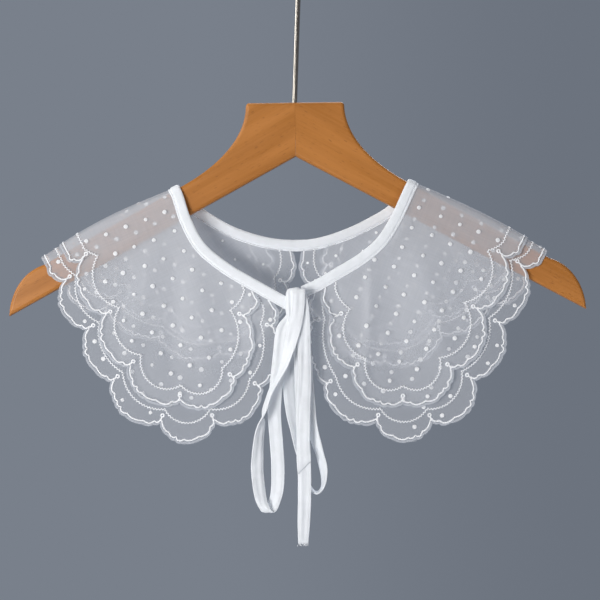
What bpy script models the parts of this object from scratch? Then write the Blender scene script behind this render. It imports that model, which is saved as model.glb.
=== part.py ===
"""False collar of sheer organza on a wooden hanger.

Two scalloped layers on each side run from the centre front over the shoulder to the centre back. One bias
binding holds their neck edges, and its ends are tied in a hanging bow. The collar hangs on a two-piece hanger
with a steel hook. Metres, +Z up, +X to the right of someone who faces the bow, which looks towards -Y. The
origin is the inner top of the hook, where a rail holds it. The tables are in millimetres: "out" is the
distance from the middle plane, and "down" is the distance below the top of the hanger's crown.
"""

import math
from typing import NamedTuple

import bmesh
import bpy
from mathutils import Vector

MM = 0.001
LEFT = -1
RIGHT = 1
FRONT = -1
BACK = 1
GAP = 0.3

# Hanger
CROWN_DROP = 135.0
HALF_SPAN = 219.9
TIP_DOWN = 160.0
ARM_THICK = 12.0
ARM_ROUND = 3.0
ARM_SLOPE = math.radians(28.9)
ARM_TOP_AT_MIDDLE = 14.7
NOTCH_DOWN = 40.9
CROWN_HALF = 37.5
CROWN_CORNER = 3.0
NECK_CURVE_FIRST = (38.5, 30.0)
NECK_CURVE_SECOND = (64.0, 50.0)
NECK_CURVE_END = 86.0
ARM_TOP_END = 193.0
TIP_CURVE_FIRST = (208.0, 125.5)
TIP_CURVE_SECOND = (219.0, 141.0)
NEARLY_STRAIGHT = 0.02
ROUND_STEPS = 3
CURVE_STEPS = 7

# Hook
WIRE_RADIUS = 1.9
HOOK_RADIUS = 20.0
SHANK_AT_CROWN = -0.4
SHANK_LEAN = 0.047
SHANK_IN_WOOD = 28.0
SHANK_STRAIGHT = 84.0
HOOK_TURN = 210
HOOK_STEP = 15
BEND_FIRST_UP = 98.0
BEND_SECOND_UP = 97.0
BORE_DEPTH = 28.5
BORE_SIDES = 16

# Cloth
CLOTH_THICK = 1.0
BINDING_WIDTH = 9.0
BINDING_THICK = 3.0
BINDING_LIFT = GAP + BINDING_THICK / 2
EDGE_MARGIN = 2.0
NOTCH_INSET = 3.0
LARGEST_INSET_SHARE = 0.4
LAYER_STEP = CLOTH_THICK + 2 * GAP
LAYER_SPREAD = 2.4
SPREAD_DEPTH = 50.0
FLARE = {FRONT: 12.0, BACK: 10.0}
FLARE_LENGTH = 60.0
RIPPLE = 1.2
RIPPLE_RATE = 12.8
PUFF = {LEFT: 6.0, RIGHT: 4.0}
PUFF_SPAN = 0.68 * math.pi
FAN_DOWN = 17.0
SCALLOP_STEPS = 5
NECK_STEPS = 3
PANEL_COLUMNS = 3
FOLD_TURNS = (90, 60, 30, 0)

# Bow
TAPE_WIDTH = 10.0
TAPE_THICK = 1.6
TAPE_STEPS = 3
KNOT_SIDES = 20
KNOT_POWER = 0.5


class Neck(NamedTuple):
    """A point of the binding's middle line."""

    out: float
    down: float


class Cusp(NamedTuple):
    """A notch of the scalloped cord, and the scallop from it to the next row."""

    place: float
    out: float
    down: float
    rise: float


class Layer(NamedTuple):
    """One cut piece of organza: its notches before and behind the arm, and where its edge crosses the arm."""

    name: str
    side: int
    lift: float
    spread: float
    fold_out: float
    fold_rise: float
    front: tuple
    back: tuple


class Limb(NamedTuple):
    """A row of a tie: its middle, its turns in the bow's plane and out of it in degrees, share of width."""

    x: float
    down: float
    y: float
    lean: float
    turn: float
    width: float = 1.0


class Ring(NamedTuple):
    """A level section of the knot."""

    down: float
    x: float
    y: float
    half_width: float
    half_depth: float


# Where the binding's middle line crosses the arm's top.
NECK_FOLD_OUT = {LEFT: 92.5, RIGHT: 88.5}
NECK_END_X = {LEFT: -8.5, RIGHT: 4.7}

# From the knot to the shoulder, and from the shoulder to the middle of the back.
NECK_FRONT = {
    LEFT: (
        Neck(8.5, 152.9),
        Neck(17.0, 148.0),
        Neck(35.8, 137.2),
        Neck(54.5, 125.6),
        Neck(73.2, 109.5),
        Neck(84.3, 88.9),
    ),
    RIGHT: (
        Neck(4.7, 144.2),
        Neck(16.4, 139.0),
        Neck(30.8, 130.8),
        Neck(49.9, 119.4),
        Neck(64.4, 106.8),
        Neck(76.0, 89.0),
    ),
}
NECK_BACK = {
    LEFT: (Neck(74.5, 83.0), Neck(54.5, 95.4), Neck(36.8, 102.6), Neck(19.2, 107.1), Neck(0.0, 108.6)),
    RIGHT: (Neck(74.0, 82.0), Neck(58.0, 91.8), Neck(39.5, 100.4), Neck(18.0, 107.0), Neck(0.0, 108.6)),
}

UNDER_LIFT = GAP + CLOTH_THICK / 2
TOP_LIFT = UNDER_LIFT + LAYER_STEP
LAYERS = (
    Layer(
        name="left_under_layer",
        side=LEFT,
        lift=UNDER_LIFT,
        spread=0.0,
        fold_out=190.2,
        fold_rise=5.0,
        front=(
            Cusp(0.10, 16.5, 157.0, 1.5),
            Cusp(0.12, 18.8, 169.9, 9.0),
            Cusp(0.20, 29.2, 215.5, 12.1),
            Cusp(0.32, 64.3, 241.0, 17.0),
            Cusp(0.48, 104.6, 240.5, 14.4),
            Cusp(0.65, 140.1, 209.1, 11.0),
            Cusp(0.80, 158.9, 169.6, 13.5),
            Cusp(0.93, 176.1, 133.1, 4.0),
        ),
        back=(
            Cusp(1.10, 176.0, 133.0, 10.0),
            Cusp(1.28, 148.0, 155.0, 7.0),
            Cusp(1.46, 107.5, 178.5, 10.0),
            Cusp(1.64, 60.0, 191.0, 11.0),
            Cusp(1.80, 26.0, 167.0, 9.0),
            Cusp(1.90, 9.2, 137.0, 3.0),
            Cusp(1.955, 3.4, 119.0, 1.0),
        ),
    ),
    Layer(
        name="left_top_layer",
        side=LEFT,
        lift=TOP_LIFT,
        spread=LAYER_SPREAD,
        fold_out=175.5,
        fold_rise=4.0,
        front=(
            Cusp(0.22, 30.4, 149.5, 2.0),
            Cusp(0.25, 39.8, 162.1, 9.0),
            Cusp(0.32, 48.2, 208.7, 12.5),
            Cusp(0.46, 90.0, 225.5, 12.5),
            Cusp(0.63, 124.6, 196.0, 11.5),
            Cusp(0.78, 145.6, 159.2, 11.0),
            Cusp(0.93, 162.8, 116.8, 3.0),
        ),
        back=(
            Cusp(1.09, 163.5, 119.0, 9.0),
            Cusp(1.28, 140.0, 146.0, 7.0),
            Cusp(1.46, 103.5, 164.0, 9.0),
            Cusp(1.62, 62.0, 179.0, 10.0),
            Cusp(1.70, 33.0, 158.0, 8.0),
            Cusp(1.74, 21.0, 124.0, 2.0),
            Cusp(1.775, 21.6, 114.6, 1.0),
        ),
    ),
    Layer(
        name="right_under_layer",
        side=RIGHT,
        lift=UNDER_LIFT,
        spread=0.0,
        fold_out=187.2,
        fold_rise=5.0,
        front=(
            Cusp(0.05, 10.0, 150.0, 1.5),
            Cusp(0.07, 11.0, 166.0, 7.0),
            Cusp(0.15, 20.5, 214.4, 11.0),
            Cusp(0.28, 58.4, 242.3, 13.5),
            Cusp(0.46, 100.3, 242.9, 16.0),
            Cusp(0.64, 131.0, 211.5, 13.0),
            Cusp(0.80, 153.3, 169.9, 11.5),
            Cusp(0.94, 170.5, 126.4, 5.0),
        ),
        back=(
            Cusp(1.10, 174.0, 131.0, 10.0),
            Cusp(1.28, 149.0, 154.0, 8.0),
            Cusp(1.46, 110.5, 178.3, 11.0),
            Cusp(1.63, 66.2, 199.3, 11.0),
            Cusp(1.79, 28.0, 170.0, 9.0),
            Cusp(1.90, 10.0, 138.0, 3.0),
            Cusp(1.955, 4.0, 119.0, 1.0),
        ),
    ),
    Layer(
        name="right_top_layer",
        side=RIGHT,
        lift=TOP_LIFT,
        spread=LAYER_SPREAD,
        fold_out=171.5,
        fold_rise=4.0,
        front=(
            Cusp(0.13, 18.6, 148.0, 2.0),
            Cusp(0.16, 28.8, 163.0, 10.5),
            Cusp(0.25, 41.1, 202.3, 12.0),
            Cusp(0.42, 78.5, 228.4, 12.0),
            Cusp(0.60, 115.7, 203.3, 13.0),
            Cusp(0.78, 136.7, 159.1, 11.5),
            Cusp(0.94, 156.1, 118.6, 3.0),
        ),
        back=(
            Cusp(1.09, 160.0, 118.0, 9.0),
            Cusp(1.28, 139.0, 146.0, 7.0),
            Cusp(1.46, 105.0, 165.0, 10.0),
            Cusp(1.62, 64.0, 183.0, 10.0),
            Cusp(1.70, 36.0, 160.0, 8.0),
            Cusp(1.74, 22.0, 124.0, 2.0),
            Cusp(1.775, 22.0, 114.6, 1.0),
        ),
    ),
)

LOOP_LEFT = (
    Limb(-4.5, 166.6, -31.6, 0, 0, 0.7),
    Limb(-4.8, 180.5, -32.8, 8, -15),
    Limb(-11.2, 201.3, -33.2, 22, -45),
    Limb(-20.7, 218.5, -33.2, 28, -57),
    Limb(-26.2, 234.0, -33.2, 18, -66),
    Limb(-30.2, 253.4, -33.0, 12, -40),
    Limb(-31.8, 274.2, -32.4, 2, -27),
    Limb(-30.1, 294.8, -31.4, -10, -20),
    Limb(-27.2, 305.0, -30.2, -15, -5),
    Limb(-24.4, 308.6, -27.6, 0, 0),
    Limb(-21.6, 304.6, -25.6, 14, 0),
    Limb(-17.0, 291.8, -25.4, 8, 0),
    Limb(-16.4, 274.0, -25.6, 0, 5),
    Limb(-17.4, 255.0, -25.8, -3, 5),
    Limb(-18.5, 234.0, -26.0, -2, 5),
    Limb(-16.6, 212.0, -26.4, 5, 0),
    Limb(-14.0, 191.0, -26.6, 0, -5),
    Limb(-12.6, 178.0, -26.6, -8, -8),
    Limb(-7.0, 166.6, -26.2, 0, 0, 0.5),
)
LOOP_RIGHT = (
    Limb(-3.0, 166.6, -22.6, 0, 0, 0.7),
    Limb(-5.6, 188.0, -22.6, 5, 10),
    Limb(-7.0, 210.0, -22.6, 3, 15),
    Limb(-6.0, 230.0, -22.4, -6, 20),
    Limb(-1.6, 254.0, -22.0, -14, 30),
    Limb(3.4, 276.0, -21.2, -14, 50),
    Limb(7.6, 291.5, -20.6, -25, 78),
    Limb(12.4, 296.0, -20.4, 0, 90),
    Limb(16.8, 292.0, -20.6, 20, 78),
    Limb(18.2, 283.0, -21.4, 5, 62),
    Limb(16.6, 271.5, -22.4, -12, 50),
    Limb(12.6, 258.0, -23.6, -18, 35),
    Limb(8.8, 242.0, -24.6, -12, 20),
    Limb(6.8, 222.0, -25.2, -4, 10),
    Limb(5.2, 195.0, -25.4, 0, 0),
    Limb(3.2, 166.6, -25.2, 0, 0, 0.7),
)
TAIL_FRONT = (
    Limb(2.2, 166.6, -29.6, 0, 0, 0.7),
    Limb(3.4, 185.0, -30.4, 0, 5),
    Limb(4.0, 207.0, -31.4, 0, 8),
    Limb(3.2, 228.0, -32.0, 0, 5),
    Limb(2.8, 250.0, -32.2, 0, 0),
    Limb(2.9, 262.0, -32.2, 14, 0, 1.05),
    Limb(3.4, 278.4, -32.0, 56, 0, 1.75),
)
TAIL_BACK = (
    Limb(0.4, 166.6, -27.6, 0, 0, 0.7),
    Limb(1.5, 190.0, -28.0, 0, 0),
    Limb(2.2, 215.0, -28.4, 0, 0),
    Limb(2.8, 245.0, -28.6, 0, 0),
    Limb(3.5, 275.0, -28.8, 0, 0),
    Limb(3.3, 300.0, -29.0, 0, 4),
    Limb(2.6, 317.0, -29.0, -1, 8, 0.95),
    Limb(1.9, 332.8, -28.8, -2, 10, 0.78),
)
KNOT = (
    Ring(140.6, -1.8, -24.0, 3.6, 4.6),
    Ring(142.0, -1.8, -24.0, 5.2, 7.0),
    Ring(148.0, -1.8, -24.0, 5.9, 8.4),
    Ring(156.0, -1.8, -24.2, 6.3, 8.8),
    Ring(162.5, -1.4, -24.4, 7.7, 8.9),
    Ring(166.2, -1.2, -24.4, 7.4, 8.6),
)


def clear_scene():
    """Removes what the file holds."""
    for obj in list(bpy.data.objects):
        bpy.data.objects.remove(obj, do_unlink=True)


def material(name, colour, roughness, metallic=0.0):
    """A plain Principled material."""
    made = bpy.data.materials.new(name)
    made.use_nodes = True
    shader = made.node_tree.nodes["Principled BSDF"]
    shader.inputs["Base Color"].default_value = (*colour, 1.0)
    shader.inputs["Roughness"].default_value = roughness
    shader.inputs["Metallic"].default_value = metallic
    made.diffuse_color = (*colour, 1.0)
    return made


def place(side, out, down, y):
    """The point in metres at this distance out and down, on one side."""
    return Vector((side * out, y, -CROWN_DROP - down)) * MM


def new_object(name, points, faces, finish, smooth_angle=40):
    """A mesh object of these points and faces, with its normals facing outwards."""
    mesh = bpy.data.meshes.new(name)
    mesh.from_pydata([tuple(point) for point in points], [], faces)
    mesh.update()
    shell = bmesh.new()
    shell.from_mesh(mesh)
    bmesh.ops.recalc_face_normals(shell, faces=shell.faces)
    shell.to_mesh(mesh)
    shell.free()
    mesh.shade_smooth()
    mesh.set_sharp_from_angle(angle=math.radians(smooth_angle))
    mesh.materials.append(finish)
    made = bpy.data.objects.new(name, mesh)
    bpy.context.scene.collection.objects.link(made)
    return made


def wall(name, grid, thick, finish):
    """A closed wall of this thickness round a grid of points, a list of rows of equal length."""
    rows, columns = len(grid), len(grid[0])
    points = []
    for shift in (0.5, -0.5):
        for i, row in enumerate(grid):
            for j, point in enumerate(row):
                along = grid[min(i + 1, rows - 1)][j] - grid[max(i - 1, 0)][j]
                across = row[min(j + 1, columns - 1)] - row[max(j - 1, 0)]
                points.append(point + along.cross(across).normalized() * shift * thick * MM)
    below = rows * columns
    faces = []
    for i in range(rows - 1):
        for j in range(columns - 1):
            first = i * columns + j
            quad = (first, first + 1, first + columns + 1, first + columns)
            faces.append(quad)
            faces.append(tuple(below + index for index in reversed(quad)))
    rim = list(range(columns))
    rim += [i * columns + columns - 1 for i in range(1, rows)]
    rim += [(rows - 1) * columns + j for j in range(columns - 2, -1, -1)]
    rim += [i * columns for i in range(rows - 2, 0, -1)]
    for first, second in zip(rim, rim[1:] + rim[:1]):
        faces.append((second, first, below + first, below + second))
    return new_object(name, points, faces, finish)


def bezier(controls, steps):
    """Points of a cubic curve in the plane, the first one left out."""
    (ax, ay), (bx, by), (cx, cy), (dx, dy) = controls
    points = []
    for step in range(1, steps + 1):
        t = step / steps
        weights = ((1 - t) ** 3, 3 * t * (1 - t) ** 2, 3 * t * t * (1 - t), t**3)
        x = sum(weight * value for weight, value in zip(weights, (ax, bx, cx, dx)))
        y = sum(weight * value for weight, value in zip(weights, (ay, by, cy, dy)))
        points.append((x, y))
    return points


def spline(rows, steps, before=None, after=None):
    """Rows of numbers on a smooth curve through the given rows, with this many steps between two."""
    rows = [tuple(row) for row in rows]
    start = before or tuple(2 * a - b for a, b in zip(rows[0], rows[1]))
    end = after or tuple(2 * a - b for a, b in zip(rows[-1], rows[-2]))
    padded = [tuple(start), *rows, tuple(end)]
    curve = []
    for p0, p1, p2, p3 in zip(padded, padded[1:], padded[2:], padded[3:]):
        for step in range(steps):
            t = step / steps
            curve.append(
                tuple(
                    b + 0.5 * t * (c - a + t * (2 * a - 5 * b + 4 * c - d + t * (3 * b - a - 3 * c + d)))
                    for a, b, c, d in zip(p0, p1, p2, p3)
                )
            )
    curve.append(rows[-1])
    return curve


def crest(out):
    """How far down the arm's top line is."""
    return ARM_TOP_AT_MIDDLE + out * math.tan(ARM_SLOPE)


def depth_below_arm(out, down):
    """Distance below the arm's top line, square to it."""
    return (down - crest(out)) * math.cos(ARM_SLOPE)


def off_crest(crest_out, depth):
    """The point at this depth below the arm's top line, square to it from its point at crest_out."""
    return (
        crest_out - depth * math.sin(ARM_SLOPE),
        crest(crest_out) + depth * math.cos(ARM_SLOPE),
    )


def hang(side, face, out, down, lift, share=0.0, spread=0.0):
    """A point of cloth that hangs before or behind the arm. share is 0 at the neck and 1 at the edge."""
    depth = max(depth_below_arm(out, down) - ARM_ROUND, 0.0)
    flare = FLARE[face] * (1 - math.exp(-depth / FLARE_LENGTH))
    growth = 1 - math.exp(-depth / SPREAD_DEPTH)
    apart = spread * share * growth
    angle = math.atan2(out, down - FAN_DOWN)
    ripple = RIPPLE * share * growth * math.sin(RIPPLE_RATE * angle + side * face)
    return place(side, out, down, face * (ARM_THICK / 2 + lift + flare + apart + ripple))


def fold_rows():
    """The rows over the arm's top, from its front to its back: which face, and how far round the corner."""
    return [(FRONT, turn) for turn in FOLD_TURNS] + [(BACK, turn) for turn in reversed(FOLD_TURNS)]


def fold(side, face, crest_out, turn, lift, share=0.0):
    """A point of cloth over the arm's rounded top, which stiff organza arches clear of away from the neck."""
    radius = ARM_ROUND + lift
    angle = math.radians(turn)
    puff = PUFF[side] * math.sin(PUFF_SPAN * share)
    out, down = off_crest(crest_out, ARM_ROUND - (radius + puff) * math.cos(angle))
    return place(side, out, down, face * (ARM_THICK / 2 - ARM_ROUND + radius * math.sin(angle)))


def neck_line(side, face):
    """Points of the binding's middle line in the plane, with the direction away from the neck at each."""
    at_crest = off_crest(NECK_FOLD_OUT[side], ARM_ROUND)
    over_crest = off_crest(NECK_FOLD_OUT[side], -ARM_ROUND * 5)
    if face == FRONT:
        line = spline([*NECK_FRONT[side], at_crest], NECK_STEPS, after=over_crest)
    else:
        mirrored = (-NECK_BACK[side][-2].out, NECK_BACK[side][-2].down)
        line = spline([at_crest, *NECK_BACK[side]], NECK_STEPS, before=over_crest, after=mirrored)
    outward = []
    for i in range(len(line)):
        ahead = line[min(i + 1, len(line) - 1)]
        behind = line[max(i - 1, 0)]
        run = Vector((ahead[0] - behind[0], ahead[1] - behind[1])).normalized()
        outward.append(Vector((face * run.y, -face * run.x)))
    along_arm = Vector((math.cos(ARM_SLOPE), math.sin(ARM_SLOPE)))
    outward[-1 if face == FRONT else 0] = along_arm
    if face == BACK:
        outward[-1] = Vector((0.0, 1.0))
    return [Vector(point) for point in line], outward


def seam_at(side, place_on_neck):
    """The binding's outer edge at this place: 0 is the centre front, 1 the shoulder, 2 the centre back."""
    face = FRONT if place_on_neck <= 1 else BACK
    line, outward = neck_line(side, face)
    seam = [point + away * (BINDING_WIDTH / 2 + GAP) for point, away in zip(line, outward)]
    lengths = [0.0]
    for first, second in zip(seam, seam[1:]):
        lengths.append(lengths[-1] + (second - first).length)
    wanted = (place_on_neck if face == FRONT else place_on_neck - 1) * lengths[-1]
    for i, length in enumerate(lengths[1:]):
        if wanted <= length:
            share = (wanted - lengths[i]) / (length - lengths[i])
            return seam[i].lerp(seam[i + 1], share)
    return seam[-1]


def scallop(first, second, rise, away, share):
    """A point of the arc that stands out by rise from the line between two notches."""
    chord = second - first
    half_turn = 2 * math.atan(2 * rise / chord.length)
    radius = chord.length / (2 * math.sin(half_turn))
    angle = (2 * share - 1) * half_turn
    along = 0.5 + radius * math.sin(angle) / chord.length
    return first + chord * along + away * radius * (math.cos(angle) - math.cos(half_turn))


def panel_rays(layer, face):
    """Rays from the neck to the edge before or behind the arm: neck, point inside the notches, edge."""
    fold_out = layer.fold_out + EDGE_MARGIN
    over_arm = Cusp(1.0, *off_crest(fold_out, ARM_ROUND), layer.fold_rise)
    rows = [*layer.front, over_arm] if face == FRONT else [over_arm, *layer.back]
    spots = [Vector((row.out, row.down)) for row in rows]
    chords = [(b - a).normalized() for a, b in zip(spots, spots[1:])]
    aways = [Vector((face * chord.y, -face * chord.x)) for chord in chords]
    notches, insides = [], []
    for i, spot in enumerate(spots):
        away = (aways[max(i - 1, 0)] + aways[min(i, len(aways) - 1)]).normalized()
        seam = seam_at(layer.side, rows[i].place)
        to_seam = (spot - seam).length
        inward = min(NOTCH_INSET / to_seam, LARGEST_INSET_SHARE)
        margin = 0.0 if rows[i] is over_arm else EDGE_MARGIN
        notches.append(spot + away * margin)
        insides.append(spot.lerp(seam, inward))
    rays = []
    for i, row in enumerate(rows[:-1]):
        for step in range(SCALLOP_STEPS + (i == len(rows) - 2)):
            share = step / SCALLOP_STEPS
            neck = seam_at(layer.side, row.place + (rows[i + 1].place - row.place) * share)
            inside = insides[i].lerp(insides[i + 1], share)
            edge = scallop(notches[i], notches[i + 1], row.rise, aways[i], share)
            rays.append((neck, inside, edge))
    return rays


def hung_rows(layer, face):
    """Rows of points of a layer before or behind the arm."""
    rows = []
    for neck, inside, edge in panel_rays(layer, face):
        reach = (inside - neck).length
        shares = [reach * column / PANEL_COLUMNS for column in range(PANEL_COLUMNS + 1)]
        whole = reach + (edge - inside).length
        row = []
        for share in shares:
            spot = neck.lerp(inside, share / reach)
            row.append(hang(layer.side, face, spot.x, spot.y, layer.lift, share / whole, layer.spread))
        row.append(hang(layer.side, face, edge.x, edge.y, layer.lift, 1.0, layer.spread))
        rows.append(row)
    return rows


def folded_rows(layer):
    """Rows of a layer over the arm's top, without the first and last, which its hung rows already have."""
    inner = NECK_FOLD_OUT[layer.side] + (BINDING_WIDTH / 2 + GAP) * math.cos(ARM_SLOPE)
    outer = layer.fold_out + EDGE_MARGIN
    inset = outer - NOTCH_INSET
    crossings = [inner + (inset - inner) * column / PANEL_COLUMNS for column in range(PANEL_COLUMNS + 1)]
    crossings.append(outer)
    rows = []
    for face, turn in fold_rows()[1:-1]:
        row = []
        for out in crossings:
            share = (out - inner) / (outer - inner)
            row.append(fold(layer.side, face, out, turn, layer.lift, share))
        rows.append(row)
    return rows


def make_layer(layer, finish):
    """One cut piece of organza as a wall, from the centre front to the centre back."""
    grid = hung_rows(layer, FRONT) + folded_rows(layer) + hung_rows(layer, BACK)
    return wall(layer.name, grid, CLOTH_THICK, finish)


def binding_rows(side, face):
    """Rows across the binding before or behind the arm: inner edge, middle, outer edge."""
    line, outward = neck_line(side, face)
    rows = []
    for i, (point, away) in enumerate(zip(line, outward)):
        across = [point + away * BINDING_WIDTH * share for share in (-0.5, 0.0, 0.5)]
        if face == FRONT and i == 0:
            run = (line[1] - line[0]).normalized()
            end = abs(NECK_END_X[side])
            across = [spot + run * (end - spot.x) / run.x for spot in across]
        rows.append([hang(side, face, spot.x, spot.y, BINDING_LIFT) for spot in across])
    return rows


def binding_fold(side):
    """Rows across the binding over the arm's top."""
    half = BINDING_WIDTH / 2 * math.cos(ARM_SLOPE)
    crossings = [NECK_FOLD_OUT[side] + half * share for share in (-1, 0, 1)]
    rows = [[fold(side, face, out, turn, BINDING_LIFT) for out in crossings] for face, turn in fold_rows()]
    return rows[1:-1]


def make_binding(finish):
    """The neck binding, from the knot over the left shoulder, round the back and over the right shoulder."""
    left = binding_rows(LEFT, FRONT) + binding_fold(LEFT) + binding_rows(LEFT, BACK)
    right = binding_rows(RIGHT, FRONT) + binding_fold(RIGHT) + binding_rows(RIGHT, BACK)
    grid = left + right[-2::-1]
    return wall("neck_binding", grid, BINDING_THICK, finish)


def make_tie(name, rows, finish):
    """A loop or tail of the tie as a wall of even thickness."""
    grid = []
    for row in spline(rows, TAPE_STEPS):
        limb = Limb(*row)
        lean, turn = math.radians(limb.lean), math.radians(limb.turn)
        across = Vector((math.cos(turn) * math.cos(lean), math.sin(turn), math.cos(turn) * math.sin(lean)))
        middle = place(RIGHT, limb.x, limb.down, limb.y)
        half = across * TAPE_WIDTH / 2 * limb.width * MM
        grid.append([middle - half, middle, middle + half])
    return wall(name, grid, TAPE_THICK, finish)


def make_knot(finish):
    """The knot, a stack of rounded sections."""
    points = []
    for ring in KNOT:
        for step in range(KNOT_SIDES):
            angle = 2 * math.pi * step / KNOT_SIDES
            x = math.copysign(abs(math.cos(angle)) ** KNOT_POWER, math.cos(angle))
            y = math.copysign(abs(math.sin(angle)) ** KNOT_POWER, math.sin(angle))
            points.append(place(RIGHT, ring.x + x * ring.half_width, ring.down, ring.y + y * ring.half_depth))
    faces = [tuple(range(KNOT_SIDES)), tuple(len(points) - 1 - i for i in range(KNOT_SIDES))]
    for level in range(len(KNOT) - 1):
        for step in range(KNOT_SIDES):
            first = level * KNOT_SIDES + step
            second = level * KNOT_SIDES + (step + 1) % KNOT_SIDES
            faces.append((first, second, second + KNOT_SIDES, first + KNOT_SIDES))
    return new_object("bow_knot", points, faces, finish)


def arm_outline():
    """The outline of one arm, from the glue face along the top to the tip and back below."""
    glue = GAP / 2
    corner = CROWN_CORNER
    top_end = (ARM_TOP_END, crest(ARM_TOP_END))
    curve_end = (NECK_CURVE_END, crest(NECK_CURVE_END))
    outline = [(glue, 0.0), (CROWN_HALF - corner, 0.0)]
    outline += bezier((outline[-1], (CROWN_HALF, 0.0), (CROWN_HALF, 0.0), (CROWN_HALF, corner)), 2)
    outline += bezier((outline[-1], NECK_CURVE_FIRST, NECK_CURVE_SECOND, curve_end), CURVE_STEPS)
    outline.append(top_end)
    outline += bezier((top_end, TIP_CURVE_FIRST, TIP_CURVE_SECOND, (HALF_SPAN, TIP_DOWN)), CURVE_STEPS)
    outline.append((glue, NOTCH_DOWN + glue * math.tan(ARM_SLOPE)))
    return [Vector(point) for point in outline]


def drawn_in(outline, distance):
    """The outline moved inwards by this distance, with the glue face kept where it is."""
    count = len(outline)
    edges = [outline[(i + 1) % count] - outline[i] for i in range(count)]
    inwards = [Vector((-edge.y, edge.x)).normalized() for edge in edges]
    reaches = [distance] * (count - 1) + [0.0]
    moved = []
    for i, point in enumerate(outline):
        first, second = inwards[i - 1], inwards[i]
        cross = first.x * second.y - first.y * second.x
        if abs(cross) < NEARLY_STRAIGHT:
            moved.append(point + second * reaches[i])
            continue
        x = (reaches[i - 1] * second.y - reaches[i] * first.y) / cross
        y = (first.x * reaches[i] - second.x * reaches[i - 1]) / cross
        moved.append(point + Vector((x, y)))
    return moved


def make_arm(name, side, finish):
    """One wooden arm: its outline with rounded edges, through its thickness."""
    outline = arm_outline()
    levels = []
    for step in range(ROUND_STEPS + 1):
        angle = math.pi / 2 * step / ROUND_STEPS
        levels.append((ARM_ROUND * (1 - math.sin(angle)), ARM_THICK / 2 - ARM_ROUND * (1 - math.cos(angle))))
    sections = [(inset, -y) for inset, y in levels] + [(inset, y) for inset, y in reversed(levels)]
    count = len(outline)
    points = []
    for inset, y in sections:
        points += [place(side, spot.x, spot.y, y) for spot in drawn_in(outline, inset)]
    faces = [tuple(range(count)), tuple(len(points) - 1 - i for i in range(count))]
    for level in range(len(sections) - 1):
        for i in range(count):
            first = level * count + i
            second = level * count + (i + 1) % count
            faces.append((first, second, second + count, first + count))
    return new_object(name, points, faces, finish)


def shank_at(up):
    """The point of the hook's straight shank this far above the crown."""
    return (SHANK_AT_CROWN + SHANK_LEAN * up, up)


def hook_line():
    """Points of the hook's middle line in the plane, each with its height above the crown."""
    middle_up = CROWN_DROP + WIRE_RADIUS - HOOK_RADIUS
    straight_end = shank_at(SHANK_STRAIGHT)
    line = [shank_at(-SHANK_IN_WOOD), shank_at(0.0), straight_end]
    bend = (straight_end, shank_at(BEND_FIRST_UP), (HOOK_RADIUS, BEND_SECOND_UP), (HOOK_RADIUS, middle_up))
    line += bezier(bend, CURVE_STEPS)
    for turn in range(HOOK_STEP, HOOK_TURN + 1, HOOK_STEP):
        angle = math.radians(turn)
        line.append((HOOK_RADIUS * math.cos(angle), middle_up + HOOK_RADIUS * math.sin(angle)))
    return line


def make_hook(finish):
    """The bent steel rod."""
    curve = bpy.data.curves.new("hanger_hook", "CURVE")
    curve.dimensions = "3D"
    curve.bevel_depth = WIRE_RADIUS * MM
    curve.bevel_resolution = 2
    curve.use_fill_caps = True
    line = hook_line()
    path = curve.splines.new("POLY")
    path.points.add(len(line) - 1)
    for knot, (x, up) in zip(path.points, line):
        knot.co = (*place(RIGHT, x, -up, 0.0), 1.0)
    curve.materials.append(finish)
    made = bpy.data.objects.new("hanger_hook", curve)
    bpy.context.scene.collection.objects.link(made)
    return made


def bore_for_hook(arms):
    """Cuts the hook's bore, which the two arms share, into their crown."""
    reach = BORE_DEPTH + WIRE_RADIUS
    foot = Vector(shank_at(-BORE_DEPTH))
    head = Vector(shank_at(reach))
    cutter_mesh = bpy.data.meshes.new("hook_bore")
    shell = bmesh.new()
    radius = (WIRE_RADIUS + GAP) * MM
    depth = (head - foot).length * MM
    bmesh.ops.create_cone(
        shell, cap_ends=True, segments=BORE_SIDES, radius1=radius, radius2=radius, depth=depth
    )
    shell.to_mesh(cutter_mesh)
    shell.free()
    cutter = bpy.data.objects.new("hook_bore", cutter_mesh)
    bpy.context.scene.collection.objects.link(cutter)
    middle = (foot + head) / 2
    cutter.location = place(RIGHT, middle.x, -middle.y, 0.0)
    cutter.rotation_euler = (0.0, math.atan(SHANK_LEAN), 0.0)
    cutter.hide_render = True
    cutter.display_type = "WIRE"
    for arm in arms:
        cut = arm.modifiers.new("hook_bore", "BOOLEAN")
        cut.operation = "DIFFERENCE"
        cut.solver = "EXACT"
        cut.object = cutter


def main():
    """Builds the hanger, then the collar on it, then the bow."""
    clear_scene()
    organza = material("organza", (0.86, 0.88, 0.90), 0.6)
    tape = material("satin_tape", (0.90, 0.91, 0.92), 0.5)
    beech = material("lacquered_beech", (0.46, 0.20, 0.058), 0.35)
    steel = material("polished_steel", (0.62, 0.62, 0.63), 0.2, 1.0)
    arms = [make_arm("hanger_arm_left", LEFT, beech), make_arm("hanger_arm_right", RIGHT, beech)]
    bore_for_hook(arms)
    make_hook(steel)
    for layer in LAYERS:
        make_layer(layer, organza)
    make_binding(tape)
    make_knot(tape)
    make_tie("bow_loop_left", LOOP_LEFT, tape)
    make_tie("bow_loop_right", LOOP_RIGHT, tape)
    make_tie("bow_tail_front", TAIL_FRONT, tape)
    make_tie("bow_tail_back", TAIL_BACK, tape)


main()
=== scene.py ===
"""Looks of the false collar: dotted organza with scalloped embroidery, bias binding and bow, on its hanger.

Metres, +Z up, +X to the right of someone who faces the bow, which looks towards -Y. The tables are in
millimetres: "out" is the distance from the middle plane, "down" the distance below the crown of the hanger,
and y the distance behind the middle of the hanger. A front side has the sign -1 and a back side +1.
"""

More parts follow.
